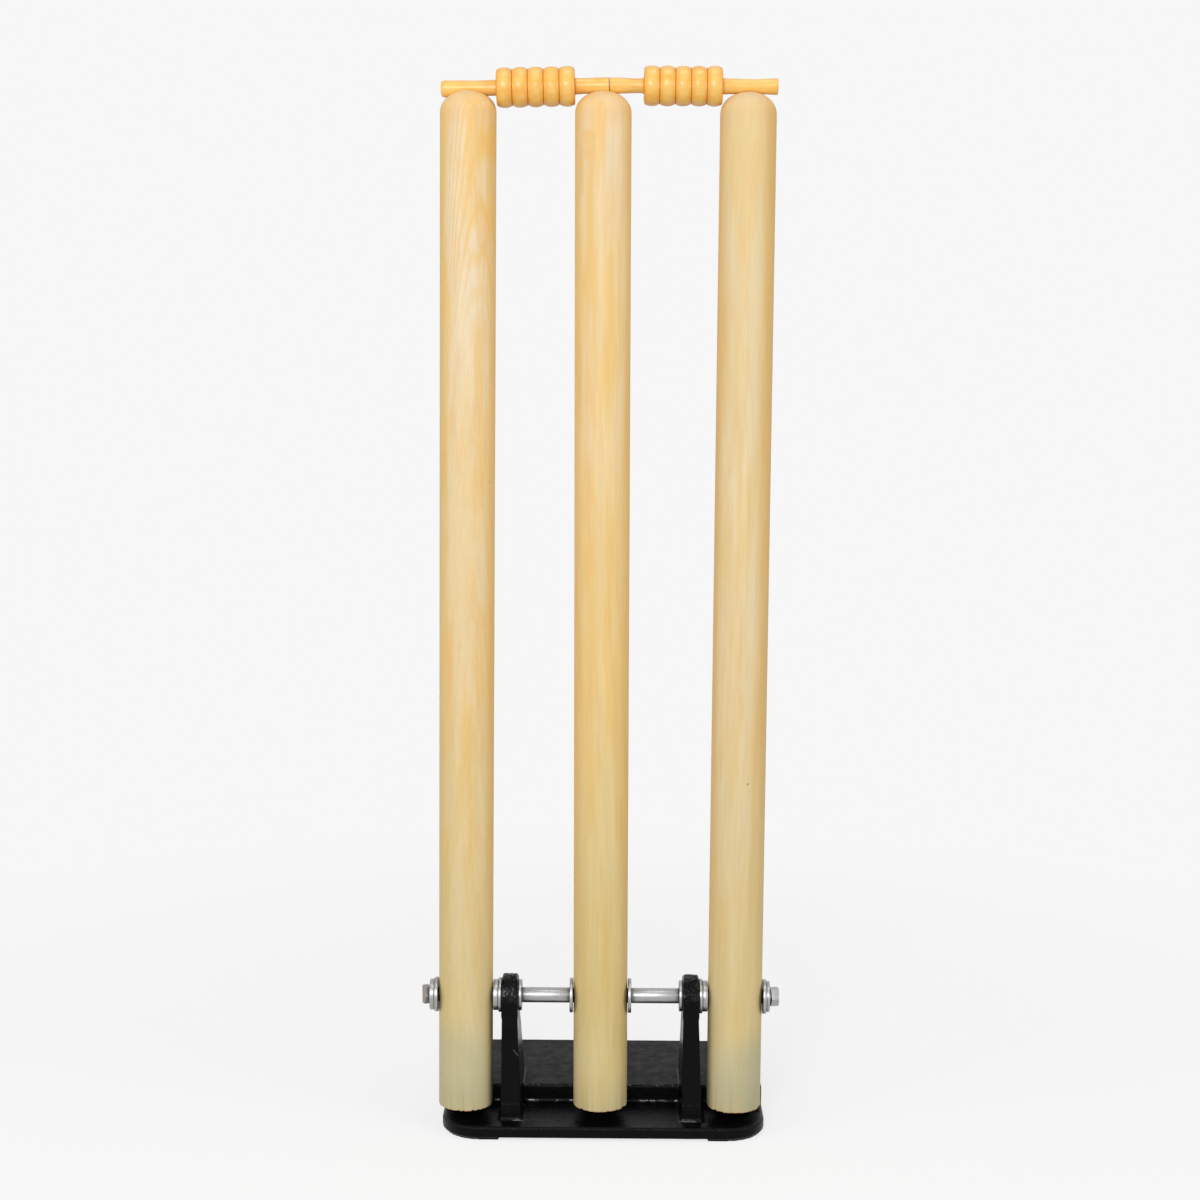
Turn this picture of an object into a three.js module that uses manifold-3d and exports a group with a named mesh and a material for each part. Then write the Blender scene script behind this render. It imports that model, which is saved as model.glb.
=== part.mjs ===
// A spring-back cricket wicket that stands on a hard floor.
// Three stumps pivot on one long bolt, which two uprights of a cast base carry. A coil spring behind each
// stump pulls it upright against a stop, and two bails lie in grooves across the stumps' domed tops.
// Millimetres, +Z up. The bowler's side faces -Y. The origin is on the floor, under the middle of the base.

import * as THREE from 'three';
import { mergeVertices } from 'three/addons/utils/BufferGeometryUtils.js';
import Module from 'manifold-3d';

// Stumps
const stumpDiameter = 38.1;
const stumpPitch = 95.25;
const stumpLength = 707.6;
const stumpFootHeight = 18;
const stumpDomeHeight = 15;
const stumpFootChamfer = 0.8;
const leftStumpLeanDegrees = 0.21;
const middleStumpLeanDegrees = -0.2;
const rightStumpLeanDegrees = 0.02;

// Grooves across the stumps' tops, measured down from the crest
const leftGrooveDepth = 4.7;
const middleGrooveDepth = 2.2;
const rightGrooveDepth = 2.2;

// Bails
const spigotDiameter = 11;
const spigotWaist = 0.4;
const spigotEndRadius = 0.9;
const longSpigotLength = 37.3;
const shortSpigotLength = 23.1;
const barrelDiameter = 27.2;
const beadWidth = 10.55;
const beadRelief = 1.5;
const barrelEndRadius = 2.6;
const beadCount = 5;
const bailMeetingPlace = 1.85;
const bailEndGap = 0.4;
const bailSeatGap = 0.3;

// Cast base
const plateWidth = 229.1;
const plateDepth = 152.6;
const plateShift = 2.55;
const plateCornerRadius = 28;
const footPadHeight = 1.9;
const footPadReach = 41;
const frontPadDepth = 24;
const backPadDepth = 11;
const footPadInset = 2;
const plateTopHeight = 10;
const platformTopHeight = 22.8;
const castEdgeRadius = 1.9;
const castLowerEdge = 0.8;
const rowSetback = 27.5;
const stepSetback = 52.1;
const stepCornerRadius = 3;
const stepFilletRadius = 3.2;

// Uprights
const axleHeight = 97.6;
const eyeRadius = 15;
const uprightThickness = 11.8;
const uprightFootThickness = 15.8;
const uprightTopThickness = 9.4;
const uprightTopTaper = 3.6;
const uprightFilletRadius = 4.2;
const uprightEdge = 0.8;
const gussetReach = 63;
const axleHoleDiameter = 9;

// Underside hollows
const hollowDepth = 7;
const hollowMargin = 13;
const hollowFrontMargin = 6.5;
const hollowRib = 9;
const hollowDraft = 1.5;
const hollowCornerRadius = 8;

// Stops on the front of the platform
const stopWidth = 26;
const stopReach = 12.5;
const stopLowering = 0.6;
const stopGap = 0.4;
const stopCornerRadius = 2;
const stopEdgeRadius = 0.95;

// Axle hardware
const boltDiameter = 7.8;
const boltHeadHeight = 5.5;
const hexAcrossFlats = 13.2;
const hexChamfer = 0.9;
const nutHeight = 6.5;
const boltTipRecess = 0.4;
const washerHoleDiameter = 8.4;
const largeWasherDiameter = 24.3;
const smallWasherDiameter = 21.8;
const innerWasherThickness = 2.3;
const uprightOuterWasherThickness = 2.2;
const stumpInnerWasherThickness = 3.6;
const stumpOuterWasherThickness = 2.5;
const headWasherThickness = 3.3;
const nutWasherThickness = 2.3;
const tubeDiameter = 10.7;
const tubeHoleDiameter = 8.4;
const stumpHoleDiameter = 11.5;
const stackGap = 0.1;
const stumpSideGap = 0.4;

// Spring hardware
const eyeDrop = 47.6;
const stumpEyeWireDiameter = 2.8;
const stumpEyeMeanDiameter = 8.8;
const stumpEyeShankDiameter = 3;
const stumpEyeShankLength = 14;
const stumpEyeStandOff = 0.6;
const eyeHoleGap = 0.3;
const anchorSetback = 28.1;
const anchorWireDiameter = 2.8;
const anchorMeanDiameter = 8.8;
const anchorShankDiameter = 4;
const anchorShankLength = 11;
const anchorCollarDiameter = 10;
const anchorCollarThickness = 1.5;
const anchorCollarEdge = 0.4;
const anchorNeckLength = 0.6;
const anchorPadDiameter = 15;
const anchorPadHeight = 1.5;
const anchorPadEdge = 0.75;
const anchorSeatGap = 0.2;

// Return springs
const springWireDiameter = 1.8;
const springMeanDiameter = 12.8;
const springHookMeanDiameter = 9;
const springHookGap = 0.3;
const springHookRise = 4.2;
const springTurns = 18;

// How finely the surfaces are cut
const roundSides = 36;
const hexSides = 6;
const boreSides = 24;
const washerSides = 24;
const bailSides = 22;
const cornerSteps = 6;
const domeRings = 7;
const wireSides = 5;
const curlSteps = 8;
const eyeSides = 6;
const eyeSteps = 14;
const bendSteps = 4;
const hookSteps = 6;

// A cut runs this far past the face that it opens
const cutOverrun = 1;

// Shares that shape outlines and curves, chosen by eye
const quarterRoundShares = [0, 0.35, 0.7, 1];
const eyeTopShares = [0, 0.25, 0.48, 0.68, 0.84, 0.95];
const spigotWaistShares = [0.3, 0.65];
const beadArcShares = [0, 0.2, 0.5, 0.8, 1];
const beadRoundnessShare = 2.6;
const bendReachShare = 0.6;
const bendRiseShare = 0.1;

// Places worked out from the sizes above
const stumpRadius = stumpDiameter / 2;
const crestHeight = stumpFootHeight + stumpLength;
const frontEdge = -plateDepth / 2;
const backEdge = plateDepth / 2;
const rowY = frontEdge + rowSetback;
const stepY = frontEdge + stepSetback;
const anchorY = backEdge - anchorSetback;
const anchorRingRise = anchorSeatGap + anchorCollarThickness + anchorNeckLength
  + (anchorMeanDiameter + anchorWireDiameter) / 2;

const sides = [
  { name: 'left', sign: -1 },
  { name: 'right', sign: 1 },
];
const stations = [
  { name: 'left', x: -stumpPitch, leanDegrees: leftStumpLeanDegrees, grooveDepth: leftGrooveDepth },
  { name: 'middle', x: 0, leanDegrees: middleStumpLeanDegrees, grooveDepth: middleGrooveDepth },
  { name: 'right', x: stumpPitch, leanDegrees: rightStumpLeanDegrees, grooveDepth: rightGrooveDepth },
];

// Finishes
const blackEnamel = new THREE.MeshStandardMaterial({ color: 0x2b2c2e, roughness: 0.45, metalness: 0.3 });
const zincPlate = new THREE.MeshStandardMaterial({ color: 0xc9ccd0, roughness: 0.3, metalness: 1 });
const yellowZinc = new THREE.MeshStandardMaterial({ color: 0xa89878, roughness: 0.35, metalness: 1 });
const springSteel = new THREE.MeshStandardMaterial({ color: 0x1c1e24, roughness: 0.4, metalness: 0.6 });
const paleWood = new THREE.MeshStandardMaterial({ color: 0xe9d8b0, roughness: 0.55, metalness: 0 });
const lacqueredWood = new THREE.MeshStandardMaterial({ color: 0xf0cb86, roughness: 0.35, metalness: 0 });

const wasm = await Module();
wasm.setup();

// Solids

// Joins corners that coincide, drops faces without area and turns the shell outwards.
function closed(geometry) {
  const bare = new THREE.BufferGeometry();
  bare.setAttribute('position', geometry.getAttribute('position').clone());
  if (geometry.index) bare.setIndex(geometry.index.clone());
  const welded = mergeVertices(bare);
  const place = welded.getAttribute('position');
  const faces = [];
  let volume = 0;
  const [a, b, c] = [new THREE.Vector3(), new THREE.Vector3(), new THREE.Vector3()];
  for (let i = 0; i < welded.index.count; i += 3) {
    const [p, q, r] = [0, 1, 2].map((k) => welded.index.getX(i + k));
    if (p === q || q === r || r === p) continue;
    faces.push(p, q, r);
    a.fromBufferAttribute(place, p);
    b.fromBufferAttribute(place, q);
    c.fromBufferAttribute(place, r);
    volume += a.dot(b.cross(c));
  }
  if (volume < 0) faces.reverse();
  welded.setIndex(faces);
  welded.computeVertexNormals();
  return welded;
}

function toSolid(geometry) {
  const shell = closed(geometry);
  return new wasm.Manifold(new wasm.Mesh({
    numProp: 3,
    vertProperties: new Float32Array(shell.getAttribute('position').array),
    triVerts: new Uint32Array(shell.index.array),
  }));
}

function toGeometry(solid) {
  const mesh = solid.getMesh();
  const geometry = new THREE.BufferGeometry();
  geometry.setAttribute('position', new THREE.BufferAttribute(new Float32Array(mesh.vertProperties), 3));
  geometry.setIndex(new THREE.BufferAttribute(new Uint32Array(mesh.triVerts), 1));
  geometry.computeVertexNormals();
  return geometry;
}

function join(first, ...others) {
  return others.reduce((whole, geometry) => whole.add(toSolid(geometry)), toSolid(first));
}

function cut(solid, ...tools) {
  return tools.reduce((rest, geometry) => rest.subtract(toSolid(geometry)), solid);
}

// Skins a row of rings that have equally many points, and caps both ends.
function loft(rings) {
  const count = rings[0].length;
  const corners = rings.flat().flatMap((point) => [point.x, point.y, point.z]);
  const faces = [];
  for (let ring = 0; ring + 1 < rings.length; ring += 1) {
    for (let i = 0; i < count; i += 1) {
      const here = ring * count + i;
      const next = ring * count + (i + 1) % count;
      faces.push(here, next, here + count, next, next + count, here + count);
    }
  }
  const last = (rings.length - 1) * count;
  for (let i = 1; i + 1 < count; i += 1) {
    faces.push(0, i + 1, i, last, last + i, last + i + 1);
  }
  const geometry = new THREE.BufferGeometry();
  geometry.setAttribute('position', new THREE.Float32BufferAttribute(corners, 3));
  geometry.setIndex(faces);
  return closed(geometry);
}

// Revolves [radius, height] pairs about the Z axis.
function turned(profile, segments) {
  const points = profile.map(([radius, height]) => new THREE.Vector2(radius, height));
  return closed(new THREE.LatheGeometry(points, segments).rotateX(Math.PI / 2));
}

// Revolves [radius, place] pairs about the X axis.
function turnedAlongX(profile, segments) {
  return turned(profile, segments).rotateY(Math.PI / 2);
}

// A straight rod or drill along X, from one end to the other, through y and z.
function rodAlongX(diameter, from, to, y, z, segments) {
  const rod = turnedAlongX([[0, from], [diameter / 2, from], [diameter / 2, to], [0, to]], segments);
  return rod.translate(0, y, z);
}

// A straight rod or drill along Z.
function rodAlongZ(diameter, from, to, x, y, segments) {
  const rod = turned([[0, from], [diameter / 2, from], [diameter / 2, to], [0, to]], segments);
  return rod.translate(x, y, 0);
}

// A ring of rectangular section around the X axis.
function collarAlongX(outer, hole, from, to, segments) {
  const profile = [
    [hole / 2, from],
    [outer / 2, from],
    [outer / 2, to],
    [hole / 2, to],
    [hole / 2, from],
  ];
  return turnedAlongX(profile, segments);
}

// The outline of a rectangle with rounded corners, drawn inwards by inset, at one height.
function outlineRing({ left, right, front, back, frontRadius, backRadius }, inset, height) {
  const corners = [
    { x: right, y: front, radius: frontRadius, signX: 1, signY: -1, start: -Math.PI / 2 },
    { x: right, y: back, radius: backRadius, signX: 1, signY: 1, start: 0 },
    { x: left, y: back, radius: backRadius, signX: -1, signY: 1, start: Math.PI / 2 },
    { x: left, y: front, radius: frontRadius, signX: -1, signY: -1, start: Math.PI },
  ];
  return corners.flatMap(({ x, y, radius, signX, signY, start }) => {
    const points = [];
    for (let step = 0; step <= cornerSteps; step += 1) {
      const angle = start + (Math.PI / 2) * (step / cornerSteps);
      points.push(new THREE.Vector3(
        x - signX * radius + (radius - inset) * Math.cos(angle),
        y - signY * radius + (radius - inset) * Math.sin(angle),
        height,
      ));
    }
    return points;
  });
}

// A slab of that outline with a rounded upper edge and a small lower one.
function slab(outline, bottom, top, upperRadius, lowerEdge) {
  const rings = [outlineRing(outline, lowerEdge, bottom), outlineRing(outline, 0, bottom + lowerEdge)];
  for (const share of quarterRoundShares) {
    const angle = share * Math.PI / 2;
    const inset = upperRadius * (1 - Math.cos(angle));
    rings.push(outlineRing(outline, inset, top - upperRadius * (1 - Math.sin(angle))));
  }
  return loft(rings);
}

// A round wire swept along a row of points, its section carried along without twisting.
function wire(points, diameter, segments) {
  const rings = [];
  let side = null;
  points.forEach((point, i) => {
    const before = points[Math.max(i - 1, 0)];
    const after = points[Math.min(i + 1, points.length - 1)];
    const along = after.clone().sub(before).normalize();
    if (side === null) {
      const helper = new THREE.Vector3(0, 0, 1);
      side = Math.abs(helper.dot(along)) > Math.SQRT1_2 ? new THREE.Vector3(1, 0, 0) : helper;
    }
    side = side.clone().addScaledVector(along, -side.dot(along)).normalize();
    const across = along.clone().cross(side);
    const ring = [];
    for (let k = 0; k < segments; k += 1) {
      const angle = 2 * Math.PI * k / segments;
      ring.push(point.clone()
        .addScaledVector(side, diameter / 2 * Math.cos(angle))
        .addScaledVector(across, diameter / 2 * Math.sin(angle)));
    }
    rings.push(ring);
  });
  return loft(rings);
}

// Clamped stack on the axle, worked outwards from the middle stump

function axleStack() {
  const stumpFace = stumpPitch - stumpRadius;
  const stack = {};
  stack.middleWasher = stumpRadius + stumpSideGap;
  stack.tubeFrom = stack.middleWasher + innerWasherThickness + stackGap;
  stack.stumpInnerWasher = stumpFace - stumpSideGap - stumpInnerWasherThickness;
  stack.uprightOuterWasher = stack.stumpInnerWasher - stackGap - uprightOuterWasherThickness;
  stack.uprightOuterFace = stack.uprightOuterWasher - stackGap;
  stack.uprightInnerFace = stack.uprightOuterFace - uprightThickness;
  stack.uprightInnerWasher = stack.uprightInnerFace - stackGap - innerWasherThickness;
  stack.tubeTo = stack.uprightInnerWasher - stackGap;
  stack.uprightMiddle = (stack.uprightInnerFace + stack.uprightOuterFace) / 2;
  stack.stumpOuterWasher = stumpPitch + stumpRadius + stumpSideGap;
  stack.endWasher = stack.stumpOuterWasher + stumpOuterWasherThickness + stackGap;
  return stack;
}

const stack = axleStack();

// Cast base

function plateOutline() {
  return {
    left: plateShift - plateWidth / 2,
    right: plateShift + plateWidth / 2,
    front: frontEdge,
    back: backEdge,
    frontRadius: plateCornerRadius,
    backRadius: plateCornerRadius,
  };
}

function apronPlate() {
  return slab(plateOutline(), footPadHeight, plateTopHeight, castEdgeRadius, castLowerEdge);
}

function platform() {
  const outline = { ...plateOutline(), front: stepY, frontRadius: stepCornerRadius };
  return slab(outline, footPadHeight + castLowerEdge, platformTopHeight, castEdgeRadius, castLowerEdge);
}

// The hollow curve where the apron runs up into the step.
function stepFillet() {
  const outline = plateOutline();
  const section = [[cutOverrun, -cutOverrun], [cutOverrun, stepFilletRadius]];
  for (const share of quarterRoundShares) {
    const angle = share * Math.PI / 2;
    section.push([
      -stepFilletRadius * (1 - Math.cos(angle)),
      stepFilletRadius * (1 - Math.sin(angle)),
    ]);
  }
  section.push([-stepFilletRadius, -cutOverrun]);
  const ends = [outline.left + stepCornerRadius, outline.right - stepCornerRadius];
  return loft(ends.map((x) => section.map(
    ([y, z]) => new THREE.Vector3(x, stepY + y, plateTopHeight + z),
  )));
}

// One upright: a tapered web whose back runs down to the platform as a gusset, with a round eye on top.
function upright(middleX) {
  const reach = Math.hypot(gussetReach, axleHeight - platformTopHeight);
  const fall = Math.atan2(platformTopHeight - axleHeight, gussetReach);
  const tangentAngle = fall + Math.acos(eyeRadius / reach);
  const tangentY = eyeRadius * Math.cos(tangentAngle);
  const tangentZ = axleHeight + eyeRadius * Math.sin(tangentAngle);
  const seatHeight = axleHeight - largeWasherDiameter / 2;

  const halfThickness = (z) => {
    const top = axleHeight + eyeRadius;
    if (z > top - uprightTopTaper) {
      const share = (z - (top - uprightTopTaper)) / uprightTopTaper;
      return (uprightThickness + share * (uprightTopThickness - uprightThickness)) / 2;
    }
    if (z >= seatHeight) return uprightThickness / 2;
    const share = (seatHeight - z) / (seatHeight - plateTopHeight);
    return (uprightThickness + share * (uprightFootThickness - uprightThickness)) / 2;
  };
  const front = (z) => (z <= axleHeight ? -eyeRadius : -Math.sqrt(eyeRadius ** 2 - (z - axleHeight) ** 2));
  const back = (z) => {
    if (z >= tangentZ) return Math.sqrt(eyeRadius ** 2 - (z - axleHeight) ** 2);
    const share = (tangentZ - z) / (tangentZ - platformTopHeight);
    return tangentY + Math.min(share, 1) * (gussetReach - tangentY);
  };
  const ring = (z, flare) => {
    const half = halfThickness(z) + flare;
    const [near, far] = [front(z) - flare, back(z)];
    const outline = [
      [half - uprightEdge, near],
      [half, near + uprightEdge],
      [half, far - uprightEdge],
      [half - uprightEdge, far],
      [uprightEdge - half, far],
      [-half, far - uprightEdge],
      [-half, near + uprightEdge],
      [uprightEdge - half, near],
    ];
    return outline.map(([x, y]) => new THREE.Vector3(middleX + x, rowY + y, z));
  };

  const rings = [ring(plateTopHeight - cutOverrun, uprightFilletRadius)];
  for (const share of quarterRoundShares) {
    const angle = share * Math.PI / 2;
    rings.push(ring(
      plateTopHeight + uprightFilletRadius * (1 - Math.cos(angle)),
      uprightFilletRadius * (1 - Math.sin(angle)),
    ));
  }
  rings.push(ring(platformTopHeight, 0), ring(seatHeight, 0));
  for (const share of eyeTopShares) {
    rings.push(ring(axleHeight + eyeRadius * Math.sin(share * Math.PI / 2), 0));
  }
  return loft(rings);
}

// A stop that cradles the back of one stump's foot.
function stumpStop(x) {
  const outline = {
    left: x - stopWidth / 2,
    right: x + stopWidth / 2,
    front: rowY + stopReach,
    back: stepY + stepCornerRadius,
    frontRadius: stopCornerRadius,
    backRadius: stopCornerRadius,
  };
  const bottom = plateTopHeight - cutOverrun;
  const block = slab(outline, bottom, platformTopHeight - stopLowering, stopEdgeRadius, 0);
  const cradle = rodAlongZ(stumpDiameter + 2 * stopGap, 0, crestHeight, x, rowY, roundSides);
  return cut(toSolid(block), cradle);
}

// A low round pad on the platform under each anchor's collar.
function anchorPad(x) {
  const top = platformTopHeight + anchorPadHeight;
  const radius = anchorPadDiameter / 2;
  const profile = [
    [0, platformTopHeight - cutOverrun],
    [radius, platformTopHeight - cutOverrun],
    [radius, platformTopHeight],
    [radius - anchorPadEdge, top],
    [0, top],
  ];
  return turned(profile, boreSides).translate(x, anchorY, 0);
}

function anchorHole(x) {
  const top = platformTopHeight + anchorPadHeight;
  const bottom = top - anchorShankLength - anchorSeatGap;
  return rodAlongZ(anchorShankDiameter + 2 * eyeHoleGap, bottom, top + cutOverrun, x, anchorY, boreSides);
}

// Foot pads under the four corners, trimmed by the plate's own outline.
function footPads() {
  const outline = plateOutline();
  const inner = {
    left: outline.left + footPadInset,
    right: outline.right - footPadInset,
    front: outline.front + footPadInset,
    back: outline.back - footPadInset,
    frontRadius: plateCornerRadius - footPadInset,
    backRadius: plateCornerRadius - footPadInset,
  };
  const footprint = toSolid(slab(inner, 0, footPadHeight + castLowerEdge, 0, 0));
  const corner = (left, right, front, back) => toSolid(slab(
    { left, right, front, back, frontRadius: footPadInset, backRadius: footPadInset },
    -cutOverrun,
    footPadHeight + cutOverrun,
    0,
    0,
  ));
  const pads = [];
  for (const [left, right] of [
    [inner.left - cutOverrun, outline.left + footPadReach],
    [outline.right - footPadReach, inner.right + cutOverrun],
  ]) {
    pads.push(footprint.intersect(corner(left, right, frontEdge, frontEdge + frontPadDepth)));
    pads.push(footprint.intersect(corner(left, right, backEdge - backPadDepth, backEdge)));
  }
  return pads;
}

// A cored hollow under the platform, open below.
function undersideHollow(left, right) {
  const outline = {
    left,
    right,
    front: stepY + hollowFrontMargin,
    back: backEdge - hollowMargin,
    frontRadius: hollowCornerRadius,
    backRadius: hollowCornerRadius,
  };
  return loft([
    outlineRing(outline, 0, footPadHeight - cutOverrun),
    outlineRing(outline, 0, footPadHeight),
    outlineRing(outline, hollowDraft, footPadHeight + hollowDepth),
  ]);
}

// The hollows leave ribs under the uprights and under the middle stump.
function undersideHollows() {
  const { left, right } = plateOutline();
  const rib = hollowRib / 2;
  const spans = [
    [left + hollowMargin, -stack.uprightMiddle - rib],
    [rib - stack.uprightMiddle, -rib],
    [rib, stack.uprightMiddle - rib],
    [stack.uprightMiddle + rib, right - hollowMargin],
  ];
  return spans.map(([from, to]) => undersideHollow(from, to));
}

function baseCasting() {
  let casting = join(
    apronPlate(),
    platform(),
    stepFillet(),
    ...sides.map(({ sign }) => upright(sign * stack.uprightMiddle)),
    ...stations.map(({ x }) => anchorPad(x)),
  );
  for (const { x } of stations) casting = casting.add(stumpStop(x));
  for (const pad of footPads()) casting = casting.add(pad);
  return toGeometry(cut(
    casting,
    ...undersideHollows(),
    rodAlongX(axleHoleDiameter, -stumpPitch, stumpPitch, rowY, axleHeight, boreSides),
    ...stations.map(({ x }) => anchorHole(x)),
  ));
}

// Axle and what is threaded on it, drawn around the X axis through the origin

// A hexagonal head or nut, two flats level, with its corners turned off at the chamfered ends.
function hexagon(from, to, chamferLow, chamferHigh) {
  const corner = hexAcrossFlats / 2 / Math.cos(Math.PI / hexSides);
  const prism = turnedAlongX([[0, from], [corner, from], [corner, to], [0, to]], hexSides);
  const flat = hexAcrossFlats / 2;
  const beyond = corner + hexChamfer;
  const slope = (beyond - flat) * hexChamfer / (corner - flat);
  const blank = [[0, from]];
  blank.push(...(chamferLow ? [[flat, from], [beyond, from + slope]] : [[beyond, from]]));
  blank.push(...(chamferHigh ? [[beyond, to - slope], [flat, to]] : [[beyond, to]]));
  blank.push([0, to]);
  return toSolid(prism).intersect(toSolid(turnedAlongX(blank, boreSides)));
}

function axleBolt() {
  const headFace = -(stack.endWasher + headWasherThickness + stackGap);
  const nutOuterFace = stack.endWasher + nutWasherThickness + stackGap + nutHeight;
  const tip = nutOuterFace - boltTipRecess;
  const radius = boltDiameter / 2;
  const shank = turnedAlongX([
    [0, headFace - cutOverrun],
    [radius, headFace - cutOverrun],
    [radius, tip - hexChamfer],
    [radius - hexChamfer, tip],
    [0, tip],
  ], boreSides);
  return toGeometry(hexagon(headFace - boltHeadHeight, headFace, true, false).add(toSolid(shank)));
}

function axleNut() {
  const inner = stack.endWasher + nutWasherThickness + stackGap;
  const outer = inner + nutHeight;
  const hole = rodAlongX(washerHoleDiameter, inner - cutOverrun, outer + cutOverrun, 0, 0, boreSides);
  return toGeometry(cut(hexagon(inner, outer, true, true), hole));
}

// A plain washer whose inner face lies at a distance from the middle stump, on one side of it.
function washer(sign, diameter, from, thickness) {
  return collarAlongX(diameter, washerHoleDiameter, sign * from, sign * (from + thickness), washerSides);
}

function spacerTube(sign) {
  return collarAlongX(tubeDiameter, tubeHoleDiameter, sign * stack.tubeFrom, sign * stack.tubeTo, boreSides);
}

function pivotSleeve() {
  const half = stumpRadius + stumpSideGap - stackGap;
  return collarAlongX(tubeDiameter, tubeHoleDiameter, -half, half, boreSides);
}

// Bails, drawn along X from the end where they meet

// A bail's axis: a straight line over the two stumps that carry it.
function bailLine(first, second) {
  const height = crestHeight - axleHeight;
  const ends = [first, second].map(({ x, leanDegrees, grooveDepth }) => new THREE.Vector2(
    x + height * Math.sin(THREE.MathUtils.degToRad(leanDegrees)),
    crestHeight - grooveDepth + spigotDiameter / 2,
  ));
  const slope = (ends[1].y - ends[0].y) / (ends[1].x - ends[0].x);
  return {
    angle: Math.atan(slope),
    heightAt: (x) => ends[0].y + slope * (x - ends[0].x),
  };
}

const [leftStation, middleStation, rightStation] = stations;
const bailLines = {
  left: bailLine(leftStation, middleStation),
  right: bailLine(middleStation, rightStation),
};

function spigotPoints(from, to) {
  const radius = spigotDiameter / 2;
  const waist = spigotWaistShares.map((share) => [radius - spigotWaist, from + share * (to - from)]);
  return [[radius, from], ...waist, [radius, to]];
}

function barrelPoints(from) {
  const radius = barrelDiameter / 2;
  const length = beadCount * beadWidth;
  const points = [];
  for (let bead = 0; bead < beadCount; bead += 1) {
    for (const share of beadArcShares) {
      if (share === 0 && bead > 0) continue;
      const place = (bead + share) * beadWidth;
      const toEnd = Math.min(place, length - place);
      const bulge = beadRelief * Math.abs(2 * share - 1) ** beadRoundnessShare;
      const short = Math.max(barrelEndRadius - toEnd, 0);
      const corner = barrelEndRadius - Math.sqrt(barrelEndRadius ** 2 - short ** 2);
      points.push([radius - Math.max(bulge, corner), from + place]);
    }
  }
  return points;
}

function bail(sign) {
  const barrelStart = shortSpigotLength;
  const barrelEnd = barrelStart + beadCount * beadWidth;
  const tip = barrelEnd + longSpigotLength;
  const endRadius = spigotDiameter / 2 - spigotEndRadius;
  const profile = [
    [0, 0],
    [endRadius, 0],
    ...spigotPoints(spigotEndRadius, barrelStart),
    ...barrelPoints(barrelStart),
    ...spigotPoints(barrelEnd, tip - spigotEndRadius),
    [endRadius, tip],
    [0, tip],
  ];
  return turnedAlongX(profile.map(([radius, place]) => [radius, sign * place]), bailSides);
}

// Stumps, drawn around the Z axis with the origin on the axle

// The drill that leaves a bail's groove, in the frame of the stump that it cuts.
function grooveDrill(station, line, from, to) {
  const diameter = spigotDiameter + 2 * bailSeatGap;
  const drill = rodAlongX(diameter, from - station.x, to - station.x, 0, 0, roundSides);
  drill.rotateY(-line.angle);
  drill.translate(0, 0, line.heightAt(station.x) - axleHeight);
  return drill.rotateY(-THREE.MathUtils.degToRad(station.leanDegrees));
}

// The drills reach well past the outer stumps, and a little past the place where the bails meet.
function grooveDrills(station) {
  const beyond = 2 * stumpPitch;
  const drills = [];
  if (station.x <= 0) {
    drills.push(grooveDrill(station, bailLines.left, -beyond, bailMeetingPlace + cutOverrun));
  }
  if (station.x >= 0) {
    drills.push(grooveDrill(station, bailLines.right, bailMeetingPlace - cutOverrun, beyond));
  }
  return drills;
}

function stump(station) {
  const foot = stumpFootHeight - axleHeight;
  const shoulder = foot + stumpLength - stumpDomeHeight;
  const profile = [
    [0, foot],
    [stumpRadius - stumpFootChamfer, foot],
    [stumpRadius, foot + stumpFootChamfer],
  ];
  for (let ring = 0; ring <= domeRings; ring += 1) {
    const angle = Math.PI / 2 * ring / domeRings;
    const radius = ring === domeRings ? 0 : stumpRadius * Math.cos(angle);
    profile.push([radius, shoulder + stumpDomeHeight * Math.sin(angle)]);
  }
  const reach = stumpRadius + cutOverrun;
  const axleBore = rodAlongX(stumpHoleDiameter, -reach, reach, 0, 0, boreSides);
  const eyeHole = turned([
    [0, 0],
    [stumpEyeShankDiameter / 2 + eyeHoleGap, 0],
    [stumpEyeShankDiameter / 2 + eyeHoleGap, stumpEyeShankLength + cutOverrun],
    [0, stumpEyeShankLength + cutOverrun],
  ], eyeSteps);
  eyeHole.rotateX(-Math.PI / 2);
  eyeHole.translate(0, stumpRadius - stumpEyeShankLength - eyeHoleGap, -eyeDrop);
  const wood = toSolid(turned(profile, roundSides));
  return toGeometry(cut(wood, axleBore, eyeHole, ...grooveDrills(station)));
}

// Eyes that hold the springs, their rings standing in the plane of the swing

function eyeRing(meanDiameter, wireDiameter) {
  const ring = new THREE.TorusGeometry(meanDiameter / 2, wireDiameter / 2, eyeSides, eyeSteps);
  return ring.rotateY(Math.PI / 2);
}

const stumpEyeCentre = stumpRadius + stumpEyeStandOff + (stumpEyeMeanDiameter + stumpEyeWireDiameter) / 2;

function stumpEye() {
  const ring = eyeRing(stumpEyeMeanDiameter, stumpEyeWireDiameter);
  ring.translate(0, stumpEyeCentre, -eyeDrop);
  const radius = stumpEyeShankDiameter / 2;
  const tip = stumpRadius - stumpEyeShankLength;
  const end = stumpEyeCentre - stumpEyeMeanDiameter / 2;
  const shank = turned([
    [0, tip],
    [radius, tip + stumpEyeShankDiameter],
    [radius, end],
    [0, end],
  ], eyeSteps);
  shank.rotateX(-Math.PI / 2);
  shank.translate(0, 0, -eyeDrop);
  return toGeometry(join(ring, shank));
}

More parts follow.
